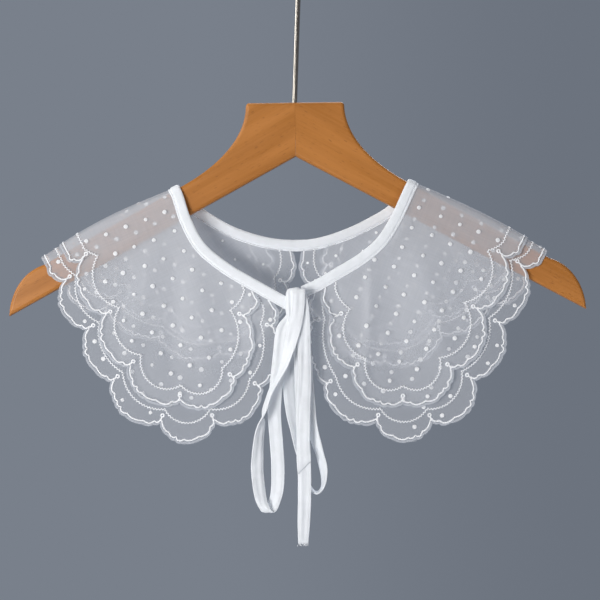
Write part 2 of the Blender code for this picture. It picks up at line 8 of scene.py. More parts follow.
import logging
import math
from collections.abc import Sequence
from dataclasses import dataclass, field
from enum import Enum, IntEnum

import bmesh
import bpy
import numpy as np
from bpy.types import Material, Mesh, Node, NodeSocket, NodeTree, Object
from mathutils import Matrix, Vector
from mathutils.bvhtree import BVHTree


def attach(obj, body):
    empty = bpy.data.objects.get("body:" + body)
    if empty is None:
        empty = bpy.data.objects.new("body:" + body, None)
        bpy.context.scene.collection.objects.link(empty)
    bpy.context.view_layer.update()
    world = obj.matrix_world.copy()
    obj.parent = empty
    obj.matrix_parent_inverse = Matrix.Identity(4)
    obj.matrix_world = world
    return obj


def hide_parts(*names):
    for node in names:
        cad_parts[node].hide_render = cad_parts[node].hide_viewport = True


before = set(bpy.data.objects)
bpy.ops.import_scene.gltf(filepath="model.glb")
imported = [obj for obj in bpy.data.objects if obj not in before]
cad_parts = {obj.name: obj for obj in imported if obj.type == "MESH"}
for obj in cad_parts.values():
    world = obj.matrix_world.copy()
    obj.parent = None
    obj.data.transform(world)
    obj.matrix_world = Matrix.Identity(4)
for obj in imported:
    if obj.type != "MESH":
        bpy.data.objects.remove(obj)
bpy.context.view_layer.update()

LOG = logging.getLogger("false_collar")
BODY = "root"
MM = 0.001
Array = np.ndarray

# Hanger: how far its crown is below the hook's inner top, and the arms' thickness, rounding and slope.
CROWN_DROP = 135.0
ARM_THICK = 12.0
ARM_ROUND = 3.0
ARM_SLOPE = math.radians(28.9)
ARM_TOP_AT_MIDDLE = 14.7

# Cloth: sizes of the binding, how far the layers stand off the arms, and how they flare, ripple and fold.
BINDING_WIDTH = 9.0
BINDING_THICK = 3.0
BINDING_LIFT = 1.8
SEAM_INSIDE = 3.2
EDGE_MARGIN = 2.0
UNDER_LIFT = 0.8
TOP_LIFT = 2.4
TOP_SPREAD = 2.4
SPREAD_DEPTH = 50.0
FLARE_LENGTH = 60.0
RIPPLE = 1.2
RIPPLE_RATE = 12.8
PUFF_SPAN = 0.68 * math.pi
FAN_DOWN = 17.0
NECK_STEPS = 3
FINE_STEPS = 5
FOLD_REACH = 9.0
CORD_FOLD_STEPS = 8
BINDING_FOLD_STEPS = 7
GRAIN = math.radians(22.9)

# Density of a layer, as a share of plain cloth's: more over the arm and at the neck, less at the outer edge.
# The extra density of the shoulder fades out from SHOULDER_DEPTH on, over SHOULDER_FADE.
SHOULDER_COVER = 0.4
SHOULDER_DEPTH = 15.0
SHOULDER_FADE = 12.0
NECK_COVER = 1.4
EDGE_COVER = 0.72

# Unevenness of the wavy cord: how far its waves drift along a scallop, and how much their heights differ.
WAVE_DRIFT = 0.06
WAVE_UNEVEN = 0.35


class Side(IntEnum):
    """A half of the collar or hanger, as the viewer sees it. The value is the sign of x."""

    LEFT = -1
    RIGHT = 1


class Face(IntEnum):
    """Before or behind the hanger. The value is the sign of y."""

    FRONT = -1
    BACK = 1


class Level(Enum):
    """The layer that lies on the arm or the one on top of it. The value is part of its pieces' names."""

    UNDER = "under"
    TOP = "top"


FLARE = {Face.FRONT: 12.0, Face.BACK: 10.0}
PUFF = {Side.LEFT: 6.0, Side.RIGHT: 4.0}
NECK_FOLD_OUT = {Side.LEFT: 92.5, Side.RIGHT: 88.5}
NECK_END_X = {Side.LEFT: -6.0, Side.RIGHT: 2.6}
NECK_FRONT = {
    Side.LEFT: ((8.5, 152.9), (17.0, 148.0), (35.8, 137.2), (54.5, 125.6), (73.2, 109.5), (84.3, 88.9)),
    Side.RIGHT: ((4.7, 144.2), (16.4, 139.0), (30.8, 130.8), (49.9, 119.4), (64.4, 106.8), (76.0, 89.0)),
}
NECK_BACK = {
    Side.LEFT: ((74.5, 83.0), (54.5, 95.4), (36.8, 102.6), (19.2, 107.1), (0.0, 108.6)),
    Side.RIGHT: ((74.0, 82.0), (58.0, 91.8), (39.5, 100.4), (18.0, 107.0), (0.0, 108.6)),
}


def linear(code: str) -> tuple[float, float, float, float]:
    """Turns an sRGB hex colour into linear values.

    Args:
        code: Six hex digits after a hash.

    Returns:
        Red, green, blue and an alpha of 1, as a shader takes them.
    """
    parts = [int(code[i : i + 2], 16) / 255 for i in (1, 3, 5)]
    red, green, blue = (p / 12.92 if p <= 0.04045 else ((p + 0.055) / 1.055) ** 2.4 for p in parts)
    return red, green, blue, 1.0


def feed(tree: NodeTree, node: Node, inputs: dict) -> None:
    """Sets and links a node's inputs.

    Args:
        tree: The tree that has the node.
        node: The node.
        inputs: For a socket's name or number, its value, the output that feeds it, or the node whose first
            output does.
    """
    for key, value in inputs.items():
        if isinstance(value, Node):
            value = value.outputs[0]
        if isinstance(value, NodeSocket):
            tree.links.new(value, node.inputs[key])
        else:
            node.inputs[key].default_value = value


def add(tree: NodeTree, kind: str, inputs: dict | None = None, **settings: object) -> Node:
    """Adds a node with its settings, values and links.

    Args:
        tree: The tree that gets the node.
        kind: Blender's name for the kind of node.
        inputs: Its inputs, as feed takes them.
        settings: Properties of the node.

    Returns:
        The new node.
    """
    made = tree.nodes.new(kind)
    for name, value in settings.items():
        setattr(made, name, value)
    feed(tree, made, inputs or {})
    return made


def new_finish(name: str) -> tuple[Material, NodeTree, Node]:
    """Starts a material.

    Args:
        name: The material's name.

    Returns:
        The material, its tree and its main shader.
    """
    made = bpy.data.materials.new(name)
    made.use_nodes = True
    return made, made.node_tree, made.node_tree.nodes["Principled BSDF"]


def crest(out: Array) -> Array:
    """How far down the arm's top line is."""
    return ARM_TOP_AT_MIDDLE + out * math.tan(ARM_SLOPE)


def off_crest(crest_out: Array, depth: Array) -> Array:
    """The place at this depth below the arm's top line, square to it from its point at crest_out."""
    out, down = crest_out - depth * math.sin(ARM_SLOPE), crest(crest_out) + depth * math.cos(ARM_SLOPE)
    return np.stack(np.broadcast_arrays(out, down), axis=-1)


def place(side: int, out: Array, down: Array, y: Array) -> Array:
    """Points in metres at these distances out, down and back, on one side."""
    out, down, y = np.broadcast_arrays(out, down, y)
    return np.stack([side * out, y, -CROWN_DROP - down], axis=-1) * MM


@dataclass(frozen=True)
class Crease:
    """A soft trough or ridge that runs down the cloth.

    Attributes:
        face: Before or behind the hanger.
        start: Its upper end, out and down.
        end: Its lower end, out and down.
        width: Half its width.
        height: How far it stands out, negative for a trough.
    """

    face: Face
    start: tuple[float, float]
    end: tuple[float, float]
    width: float
    height: float

    def lift(self, out: Array, down: Array) -> Array:
        """How far the crease moves the cloth away from the hanger.

        Args:
            out: Distances from the middle plane.
            down: Distances below the crown.

        Returns:
            Millimetres for each place.
        """
        spot = np.stack(np.broadcast_arrays(out, down), axis=-1) - self.start
        run = np.subtract(self.end, self.start)
        length = np.linalg.norm(run)
        along = spot @ run / length**2
        across = (spot[..., 0] * run[1] - spot[..., 1] * run[0]) / length
        ends = np.clip(4 * along * (1 - along), 0, 1)
        return self.height * ends * ends * (3 - 2 * ends) * np.exp(-((across / self.width) ** 2))


CREASES = {
    Side.LEFT: (
        Crease(Face.FRONT, (104.0, 88.0), (132.0, 215.0), 9.0, 2.2),
        Crease(Face.FRONT, (92.0, 96.0), (96.0, 232.0), 8.0, -1.8),
        Crease(Face.FRONT, (80.0, 104.0), (64.0, 236.0), 10.0, 1.8),
        Crease(Face.FRONT, (58.0, 126.0), (34.0, 214.0), 7.0, -1.4),
        Crease(Face.FRONT, (126.0, 96.0), (172.0, 150.0), 7.0, -1.2),
        Crease(Face.BACK, (96.0, 82.0), (118.0, 182.0), 9.0, 1.8),
        Crease(Face.BACK, (78.0, 92.0), (76.0, 188.0), 8.0, -1.6),
        Crease(Face.BACK, (50.0, 104.0), (38.0, 180.0), 8.0, 1.6),
        Crease(Face.BACK, (124.0, 96.0), (164.0, 150.0), 7.0, -1.2),
    ),
    Side.RIGHT: (
        Crease(Face.FRONT, (62.0, 116.0), (46.0, 232.0), 5.0, 1.9),
        Crease(Face.FRONT, (72.0, 106.0), (78.0, 236.0), 9.0, -1.6),
        Crease(Face.FRONT, (88.0, 92.0), (116.0, 220.0), 10.0, 2.0),
        Crease(Face.FRONT, (106.0, 90.0), (146.0, 186.0), 8.0, -1.6),
        Crease(Face.FRONT, (30.0, 138.0), (18.0, 210.0), 6.0, -1.2),
        Crease(Face.FRONT, (55.0, 112.0), (53.0, 182.0), 2.6, 1.2),
        Crease(Face.BACK, (94.0, 82.0), (124.0, 176.0), 9.0, 1.6),
        Crease(Face.BACK, (70.0, 94.0), (82.0, 192.0), 8.0, -1.8),
        Crease(Face.BACK, (44.0, 104.0), (40.0, 184.0), 8.0, 1.5),
        Crease(Face.BACK, (120.0, 94.0), (160.0, 152.0), 7.0, -1.2),
    ),
}


def hang(
    side: Side, face: Face, out: Array, down: Array, lift: float, share: Array = 0.0, spread: float = 0.0
) -> Array:
    """Points of cloth that hangs before or behind the arm.

    Args:
        side: The half of the collar.
        face: Before or behind the arm.
        out: Distance from the middle plane.
        down: Distance below the crown.
        lift: Distance from the arm's face where the cloth leaves it.
        share: 0 at the neck and 1 at the outer edge.
        spread: How far the outer edge stands off further.

    Returns:
        Points in metres.
    """
    depth = np.maximum((down - crest(out)) * math.cos(ARM_SLOPE) - ARM_ROUND, 0.0)
    flare = FLARE[face] * (1 - np.exp(-depth / FLARE_LENGTH))
    growth = 1 - np.exp(-depth / SPREAD_DEPTH)
    ripple = RIPPLE * share * growth * np.sin(RIPPLE_RATE * np.arctan2(out, down - FAN_DOWN) + side * face)
    creases = sum(crease.lift(out, down) for crease in CREASES[side] if crease.face == face)
    away = ARM_THICK / 2 + lift + flare + spread * share * growth + ripple + creases * growth
    return place(side, out, down, face * away)


def fold(side: Side, face: Face, crest_out: Array, turn: float, lift: float, share: Array = 0.0) -> Array:
    """Points of cloth over the arm's rounded top.

    Args:
        side: The half of the collar.
        face: Before or behind the middle of the arm.
        crest_out: How far out the points are along the arm's top line.
        turn: 90 where the cloth hangs down, and 0 on top.
        lift: Distance from the arm.
        share: 0 at the neck and 1 at the outer edge. Between them the stiff organza arches clear of the arm.

    Returns:
        Points in metres.
    """
    radius = ARM_ROUND + lift
    angle = math.radians(turn)
    puff = PUFF[side] * np.sin(PUFF_SPAN * np.asarray(share))
    spot = off_crest(crest_out, ARM_ROUND - (radius + puff) * math.cos(angle))
    y = face * (ARM_THICK / 2 - ARM_ROUND + radius * math.sin(angle))
    return place(side, spot[..., 0], spot[..., 1], y)


def fold_rows(steps: int) -> list[tuple[Face, float]]:
    """The rows over the arm's top, front to back, without the two that the hanging cloth already has."""
    turns = [90 * (1 - k / steps) for k in range(1, steps + 1)]
    return [(Face.FRONT, turn) for turn in turns] + [(Face.BACK, turn) for turn in reversed(turns[:-1])]


def spline(
    rows: Sequence, steps: int, before: Sequence | None = None, after: Sequence | None = None
) -> Array:
    """Rows of numbers on a smooth curve through the given rows.

    Args:
        rows: The rows to pass through.
        steps: Steps from each row to the next.
        before: The row that the curve comes from, or none for a straight start.
        after: The row that the curve goes on to, or none for a straight end.

    Returns:
        One row for each step.
    """
    rows = np.asarray(rows, float)
    start = 2 * rows[0] - rows[1] if before is None else before
    end = 2 * rows[-1] - rows[-2] if after is None else after
    padded = np.vstack([start, rows, end])
    t = np.arange(steps)[:, None] / steps
    pieces = []
    for a, b, c, d in zip(padded, padded[1:], padded[2:], padded[3:]):
        pieces.append(b + 0.5 * t * (c - a + t * (2 * a - 5 * b + 4 * c - d + t * (3 * b - a - 3 * c + d))))
    return np.vstack([*pieces, rows[-1:]])


def bezier(controls: Sequence, steps: int) -> Array:
    """Points of a cubic curve in the plane.

    Args:
        controls: Its four control points.
        steps: How many points to give.

    Returns:
        The points, without the first control point.
    """
    t = (np.arange(1, steps + 1) / steps)[:, None]
    a, b, c, d = (np.asarray(point, float) for point in controls)
    return (1 - t) ** 3 * a + 3 * t * (1 - t) ** 2 * b + 3 * t * t * (1 - t) * c + t**3 * d


def units(vectors: Array) -> Array:
    """The vectors at a length of 1."""
    return vectors / np.maximum(np.linalg.norm(vectors, axis=-1, keepdims=True), 1e-12)


def length_along(points: Array) -> Array:
    """The distance of each point from the first one, along their line."""
    return np.concatenate([[0.0], np.cumsum(np.linalg.norm(np.diff(points, axis=0), axis=1))])


def smoothed(rows: Array, reach: int) -> Array:
    """Rows averaged over their neighbours, with the first and last row kept.

    Args:
        rows: Rows of numbers.
        reach: How many neighbours on each side count.

    Returns:
        As many rows.
    """
    before = 2 * rows[0] - rows[reach:0:-1]
    after = 2 * rows[-1] - rows[-2 : -2 - reach : -1]
    padded = np.vstack([before, rows, after])
    weight = np.hanning(2 * reach + 3)[1:-1]
    weight /= weight.sum()
    return np.stack([np.convolve(column, weight, "valid") for column in padded.T], axis=-1)


def neck_line(side: Side, face: Face) -> tuple[Array, Array]:
    """The binding's middle line in the plane.

    Args:
        side: The half of the collar.
        face: From the front end to the shoulder, or from there to the middle of the back.

    Returns:
        Points and, at each, the direction away from the neck.
    """
    at_crest = off_crest(NECK_FOLD_OUT[side], ARM_ROUND)
    over_crest = off_crest(NECK_FOLD_OUT[side], -ARM_ROUND * 5)
    if face == Face.FRONT:
        rows, before, after = [*NECK_FRONT[side], at_crest], None, over_crest
    else:
        (out, down), middle = NECK_BACK[side][-2], NECK_BACK[side]
        rows, before, after = [at_crest, *middle], over_crest, (-out, down)
    line = spline(rows, NECK_STEPS, before, after)
    run = units(np.vstack([line[1] - line[0], line[2:] - line[:-2], line[-1] - line[-2]]))
    outward = face * np.stack([run[:, 1], -run[:, 0]], axis=-1)
    outward[-1 if face == Face.FRONT else 0] = (math.cos(ARM_SLOPE), math.sin(ARM_SLOPE))
    if face == Face.BACK:
        outward[-1] = (0.0, 1.0)
    fine = spline(rows, NECK_STEPS * FINE_STEPS, before, after)
    at = np.arange(len(fine)) / FINE_STEPS
    turned = np.stack([np.interp(at, np.arange(len(line)), outward[:, k]) for k in (0, 1)], axis=-1)
    return fine, units(turned)


def seam_at(side: Side, places: Array, inside: float = SEAM_INSIDE) -> Array:
    """Points along the binding, where the layers go into it.

    Args:
        side: The half of the collar.
        places: 0 is the centre front, 1 the shoulder and 2 the centre back. All lie on one side of the arm.
        inside: How far the points are from the binding's middle line.

    Returns:
        A row of out and down for each place.
    """
    places = np.asarray(places, float)
    face = Face.FRONT if places.mean() <= 1 else Face.BACK
    line, outward = neck_line(side, face)
    seam = line + outward * inside
    run = length_along(seam)
    wanted = (places - (face == Face.BACK)) * run[-1]
    return np.stack([np.interp(wanted, run, seam[:, k]) for k in (0, 1)], axis=-1)


def grid_faces(rows: int, columns: int) -> list[tuple[int, ...]]:
    """Quads of a grid of points, row by row.

    Args:
        rows: Number of rows.
        columns: Points in a row.

    Returns:
        The quads, as tuples of point numbers.
    """
    faces = []
    for i in range(rows - 1):
        for j in range(columns - 1):
            first = i * columns + j
            faces.append((first, first + 1, first + columns + 1, first + columns))
    return faces


def tube_faces(rows: int, sides: int) -> list[tuple[int, ...]]:
    """Faces of a closed tube.

    Args:
        rows: Number of rings of points.
        sides: Points in a ring.

    Returns:
        The quads from ring to ring and the two end caps, as tuples of point numbers.
    """
    faces = []
    for i in range(rows - 1):
        for k in range(sides):
            first, second = i * sides + k, i * sides + (k + 1) % sides
            faces.append((first, second, second + sides, first + sides))
    last = rows * sides
    return [*faces, tuple(range(sides)), tuple(range(last - 1, last - 1 - sides, -1))]


def new_piece(name: str, points: Array, faces: Sequence, finish: Material | None) -> Object:
    """A smooth mesh object at the origin, on the root body.

    Args:
        name: The piece's name.
        points: Its points in metres.
        faces: Its faces, as tuples of indexes.
        finish: Its material, or none for a helper.

    Returns:
        The object.
    """
    mesh = bpy.data.meshes.new(name)
    mesh.from_pydata([tuple(point) for point in np.asarray(points, float).reshape(-1, 3)], [], faces)
    mesh.update()
    mesh.shade_smooth()
    if finish:
        mesh.materials.append(finish)
    made = bpy.data.objects.new(name, mesh)
    bpy.context.scene.collection.objects.link(made)
    return made


def face_outwards(piece: Object) -> None:
    """Turns the faces of a closed mesh outwards.

    Args:
        piece: The object that has the mesh.
    """
    shell = bmesh.new()
    shell.from_mesh(piece.data)
    bmesh.ops.recalc_face_normals(shell, faces=shell.faces)
    shell.to_mesh(piece.data)
    shell.free()


def point_numbers(piece: Object, name: str, values: Array) -> None:
    """Keeps a number for each point of a mesh, which its material reads by this name."""
    attribute = piece.data.attributes.new(name, "FLOAT", "POINT")
    attribute.data.foreach_set("value", np.asarray(values, np.float32).ravel())


def point_map(piece: Object, places: Array) -> None:
    """Gives a mesh the UV map that the cloth's weave is drawn in.

    Args:
        piece: The object that has the mesh.
        places: A place for each of its points, in millimetres.
    """
    layer = piece.data.uv_layers.new(name="Cloth")
    corners = np.zeros(len(piece.data.loops), np.int32)
    piece.data.loops.foreach_get("vertex_index", corners)
    layer.data.foreach_set("uv", np.asarray(places, np.float32).reshape(-1, 2)[corners].ravel())


def finish_piece(piece: Object, nodes: Sequence[str] = ()) -> Object:
    """Rides the piece on the root body, and hides the solids that it stands for.

    Args:
        piece: The piece.
        nodes: Names of the solids.

    Returns:
        The same piece.
    """
    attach(piece, BODY)
    if nodes:
        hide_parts(*nodes)
    LOG.info("%s: %d faces", piece.name, len(piece.data.polygons))
    return piece


# Finishes


@dataclass(frozen=True)
class SheerOrganza:
    """Crisp nylon organza: fine twisted threads in plain weave, a pale veil with a dry sheen.

    Attributes:
        colour: Colour of the threads.
        cover: Share of the surface that the threads fill.
        thread_pitch: Spacing of the drawn threads in millimetres. Real ones are 0.12 mm apart, too fine to
            show, so they are drawn as slubs of this spacing.
    """

    colour: str = "#D3D6DC"
    cover: float = 0.285
    thread_pitch: float = 1.1

    def build(self) -> Material:
        """Makes the material.

        Returns:
            The new material.
        """
        made, tree, shader = new_finish("sheer_nylon_organza")
        cloth = add(tree, "ShaderNodeUVMap", uv_map="Cloth")
        warp = self.threads(tree, cloth.outputs[0], (1.0, 0.04, 1.0))
        weft = self.threads(tree, cloth.outputs[0], (0.04, 1.0, 1.0))
        weave = add(tree, "ShaderNodeMath", {0: warp, 1: weft}, operation="ADD")
        share = add(tree, "ShaderNodeAttribute", attribute_name="cover")
        slubs = add(tree, "ShaderNodeMapRange", {0: weave, 1: 0.7, 2: 1.3, 3: 0.96, 4: 1.04})
        cover = add(tree, "ShaderNodeMath", {0: slubs, 1: share.outputs["Fac"]}, operation="MULTIPLY")
        alpha = add(tree, "ShaderNodeMath", {0: cover, 1: self.cover}, operation="MULTIPLY")
        bump = add(tree, "ShaderNodeBump", {"Strength": 0.08, "Distance": 0.0001, "Height": weave})
        values = {
            "Base Color": linear(self.colour), "Alpha": alpha, "Normal": bump,
            "Roughness": 0.62, "Sheen Weight": 0.35, "Sheen Roughness": 0.4,
        }
        feed(tree, shader, values)
        return made

    def threads(self, tree: NodeTree, cloth: NodeSocket, stretch: tuple) -> NodeSocket:
        """Noise drawn out along one run of threads.

        Args:
            tree: The material's tree.
            cloth: The cloth's map.
            stretch: How much finer the noise is along each axis.

        Returns:
            A value from 0 to 1.
        """
        scale = [self.thread_pitch / value for value in stretch]
        mapping = add(
            tree,
            "ShaderNodeMapping",
            {"Vector": cloth, "Rotation": (0.0, 0.0, GRAIN), "Scale": scale},
            vector_type="TEXTURE",
        )
        grain = add(tree, "ShaderNodeTexNoise", {"Vector": mapping, "Scale": 1.0, "Detail": 1.0})
        return grain.outputs[0]


@dataclass(frozen=True)
class EmbroideryThread:
    """Bright rayon embroidery thread in close satin stitches, whiter and glossier than the cloth.

    Attributes:
        name: The material's name.
        colour: Colour of the thread.
        cover: Share of the cloth that the stitches hide.
        stitch_pitch: Spacing of the drawn stitches along a line in millimetres. Real ones are 0.4 mm apart,
            too fine to show, so they are drawn as coarse as this.
    """

    name: str = "rayon_satin_stitch"
    colour: str = "#F4F6F9"
    cover: float = 1.0
    stitch_pitch: float = 0.6

    def build(self) -> Material:
        """Makes the material.

        Returns:
            The new material.
        """
        made, tree, shader = new_finish(self.name)
        run = add(tree, "ShaderNodeAttribute", attribute_name="run")
        turns = add(
            tree,
            "ShaderNodeMath",
            {0: run.outputs["Fac"], 1: 2 * math.pi / (self.stitch_pitch * MM)},
            operation="MULTIPLY",
        )
        ribs = add(tree, "ShaderNodeMath", {0: turns}, operation="SINE")
        bump = add(tree, "ShaderNodeBump", {"Strength": 0.5, "Distance": 0.00012, "Height": ribs})
        values = {
            "Base Color": linear(self.colour), "Normal": bump, "Roughness": 0.42,
            "Sheen Weight": 0.2, "Alpha": self.cover,
        }
        feed(tree, shader, values)
        return made


@dataclass(frozen=True)
class BiasTape:
    """Folded bias tape of fine woven cotton: matt and soft, with threads that run at 45 degrees to the tape.

    Attributes:
        colour: Colour of the cloth.
        painted_hollow_shade: Painted shade: a darker colour laid where the soft relief dips, standing in for
            the shade in its hollows.
        thread_pitch: Spacing of the drawn threads in millimetres. Real ones are 0.25 mm apart, too fine to
            show, so they are drawn as coarse as this.
    """

    colour: str = "#F1F4FA"
    painted_hollow_shade: str = "#E3E8EB"
    thread_pitch: float = 0.5

    def build(self) -> Material:
        """Makes the material.

        Returns:
            The new material.
        """
        made, tree, shader = new_finish("cotton_bias_tape")
        cloth = add(tree, "ShaderNodeUVMap", uv_map="Cloth")
        turned = add(
            tree,
            "ShaderNodeMapping",
            {"Vector": cloth, "Rotation": (0, 0, math.pi / 4), "Scale": [1 / self.thread_pitch] * 3},
        )
        split = add(tree, "ShaderNodeSeparateXYZ", {0: turned})
        waves = []
        for axis in (0, 1):
            turns = add(
                tree, "ShaderNodeMath", {0: split.outputs[axis], 1: 2 * math.pi}, operation="MULTIPLY"
            )
            waves.append(add(tree, "ShaderNodeMath", {0: turns}, operation="SINE"))
        weave = add(tree, "ShaderNodeMath", {0: waves[0], 1: waves[1]}, operation="MULTIPLY")
        relief_and_shade = add(tree, "ShaderNodeTexNoise", {"Vector": cloth, "Scale": 0.16, "Detail": 3.0})
        # Painted shade: the soft noise that raises the tape's relief also mixes in a darker colour where
        # that relief dips.
        tint = add(
            tree,
            "ShaderNodeMix",
            {0: relief_and_shade, 6: linear(self.painted_hollow_shade), 7: linear(self.colour)},
            data_type="RGBA",
        )
        fine = add(tree, "ShaderNodeBump", {"Strength": 0.35, "Distance": 0.00008, "Height": weave})
        soft = add(
            tree, "ShaderNodeBump", {"Strength": 0.3, "Distance": 0.0006, "Height": relief_and_shade, "Normal": fine}
        )
        values = {"Base Color": tint.outputs[2], "Normal": soft, "Roughness": 0.72, "Sheen Weight": 0.25}
        feed(tree, shader, values)
        return made


@dataclass(frozen=True)
class LacqueredBeech:
    """Steamed beech under clear lacquer: orange brown, with fine grain along the arm and short dark flecks.

    Attributes:
        side: The arm that it dresses, because the grain runs along the arm.
        pale: Colour of the early wood.
        dark: Colour of the late wood.
        fleck: Colour of the ray flecks, 2 to 3 mm long in beech.
    """

    side: Side
    pale: str = "#BA7A3B"
    dark: str = "#A4682B"
    fleck: str = "#7A4A20"

    def build(self) -> Material:
        """Makes the material.

        Returns:
            The new material.
        """
        made, tree, shader = new_finish(f"lacquered_beech_{self.side.name.lower()}")
        where = add(tree, "ShaderNodeTexCoord").outputs["Object"]
        turn = (0.0, self.side * ARM_SLOPE, 0.0)
        bands = self.grain(tree, where, turn, (7.0, 75.0, 90.0), 4.0)
        fibres = self.grain(tree, where, turn, (22.0, 620.0, 800.0), 2.0)
        flecks = self.grain(tree, where, turn, (190.0, 1300.0, 1600.0), 0.0)
        span = {0: bands, 1: 0.34, 2: 0.68, 3: 0.0, 4: 1.0}
        wood = add(tree, "ShaderNodeMapRange", span, interpolation_type="SMOOTHSTEP")
        base = add(
            tree, "ShaderNodeMix", {0: wood, 6: linear(self.dark), 7: linear(self.pale)}, data_type="RGBA"
        )
        streak = add(tree, "ShaderNodeMapRange", {0: fibres, 1: 0.35, 2: 0.7, 3: 0.0, 4: 0.35})
        streaked = add(
            tree, "ShaderNodeMix", {0: streak, 6: base.outputs[2], 7: linear(self.pale)}, data_type="RGBA"
        )
        spots = add(tree, "ShaderNodeMapRange", {0: flecks, 1: 0.71, 2: 0.8, 3: 0.0, 4: 0.5})
        flecked = add(
            tree,
            "ShaderNodeMix",
            {0: spots, 6: streaked.outputs[2], 7: linear(self.fleck)},
            data_type="RGBA",
        )
        rough = add(tree, "ShaderNodeMapRange", {0: fibres, 1: 0.3, 2: 0.7, 3: 0.34, 4: 0.46})
        bump = add(tree, "ShaderNodeBump", {"Strength": 0.18, "Distance": 0.0001, "Height": fibres})
        values = {
            "Base Color": flecked.outputs[2], "Roughness": rough, "Normal": bump,
            "Specular IOR Level": 0.28, "Coat Weight": 0.06, "Coat Roughness": 0.3,
        }
        feed(tree, shader, values)
        return made

    def grain(
        self, tree: NodeTree, where: NodeSocket, turn: tuple, scale: tuple, detail: float
    ) -> NodeSocket:
        """Noise drawn out along the arm.

        Args:
            tree: The material's tree.
            where: Places in metres.
            turn: Turn of the arm.
            scale: How fine the noise is along the arm, across its thickness and across its face.
            detail: How much finer noise is added.

        Returns:
            A value from 0 to 1.
        """
        turned = add(tree, "ShaderNodeMapping", {"Vector": where, "Rotation": turn}, vector_type="TEXTURE")
        drawn = add(tree, "ShaderNodeMapping", {"Vector": turned, "Scale": scale})
        return add(tree, "ShaderNodeTexNoise", {"Vector": drawn, "Scale": 1.0, "Detail": detail}).outputs[0]


@dataclass(frozen=True)
class PolishedSteel:
    """Drawn and polished steel wire, nickel plated: it mirrors the room softly, with faint lines along it.

    Attributes:
        colour: Colour of the plating.
    """

    colour: str = "#C2BCB3"

    def build(self) -> Material:
        """Makes the material.

        Returns:
            The new material.
        """
        made, tree, shader = new_finish("nickel_plated_steel")
        where = add(tree, "ShaderNodeTexCoord").outputs["Object"]
        drawn = add(tree, "ShaderNodeMapping", {"Vector": where, "Scale": (1500.0, 1500.0, 40.0)})
        lines = add(tree, "ShaderNodeTexNoise", {"Vector": drawn, "Scale": 1.0, "Detail": 2.0})
        rough = add(tree, "ShaderNodeMapRange", {0: lines, 1: 0.3, 2: 0.7, 3: 0.2, 4: 0.25})
        values = {"Base Color": linear(self.colour), "Roughness": rough, "Metallic": 1.0}
        feed(tree, shader, values)
        return made


@dataclass(frozen=True)
class PaleFloor:
    """Matt pale studio floor.

    Attributes:
        colour: Colour of the floor.
    """

    colour: str = "#D9DBDE"

    def build(self) -> Material:
        """Makes the material.

        Returns:
            The new material.
        """
        made, tree, shader = new_finish("pale_floor")
        feed(tree, shader, {"Base Color": linear(self.colour), "Roughness": 0.9})
        return made


# Studio


@dataclass(frozen=True)
class Softbox:
    """A square area light.

    Attributes:
        name: The light's name.
        place: Where it stands, in metres.
        size: Length of its sides.
        power: Its power in watts.
        colour: Its colour.
    """

    name: str
    place: tuple[float, float, float]
    size: float
    power: float
    colour: str = "#FFFFFF"


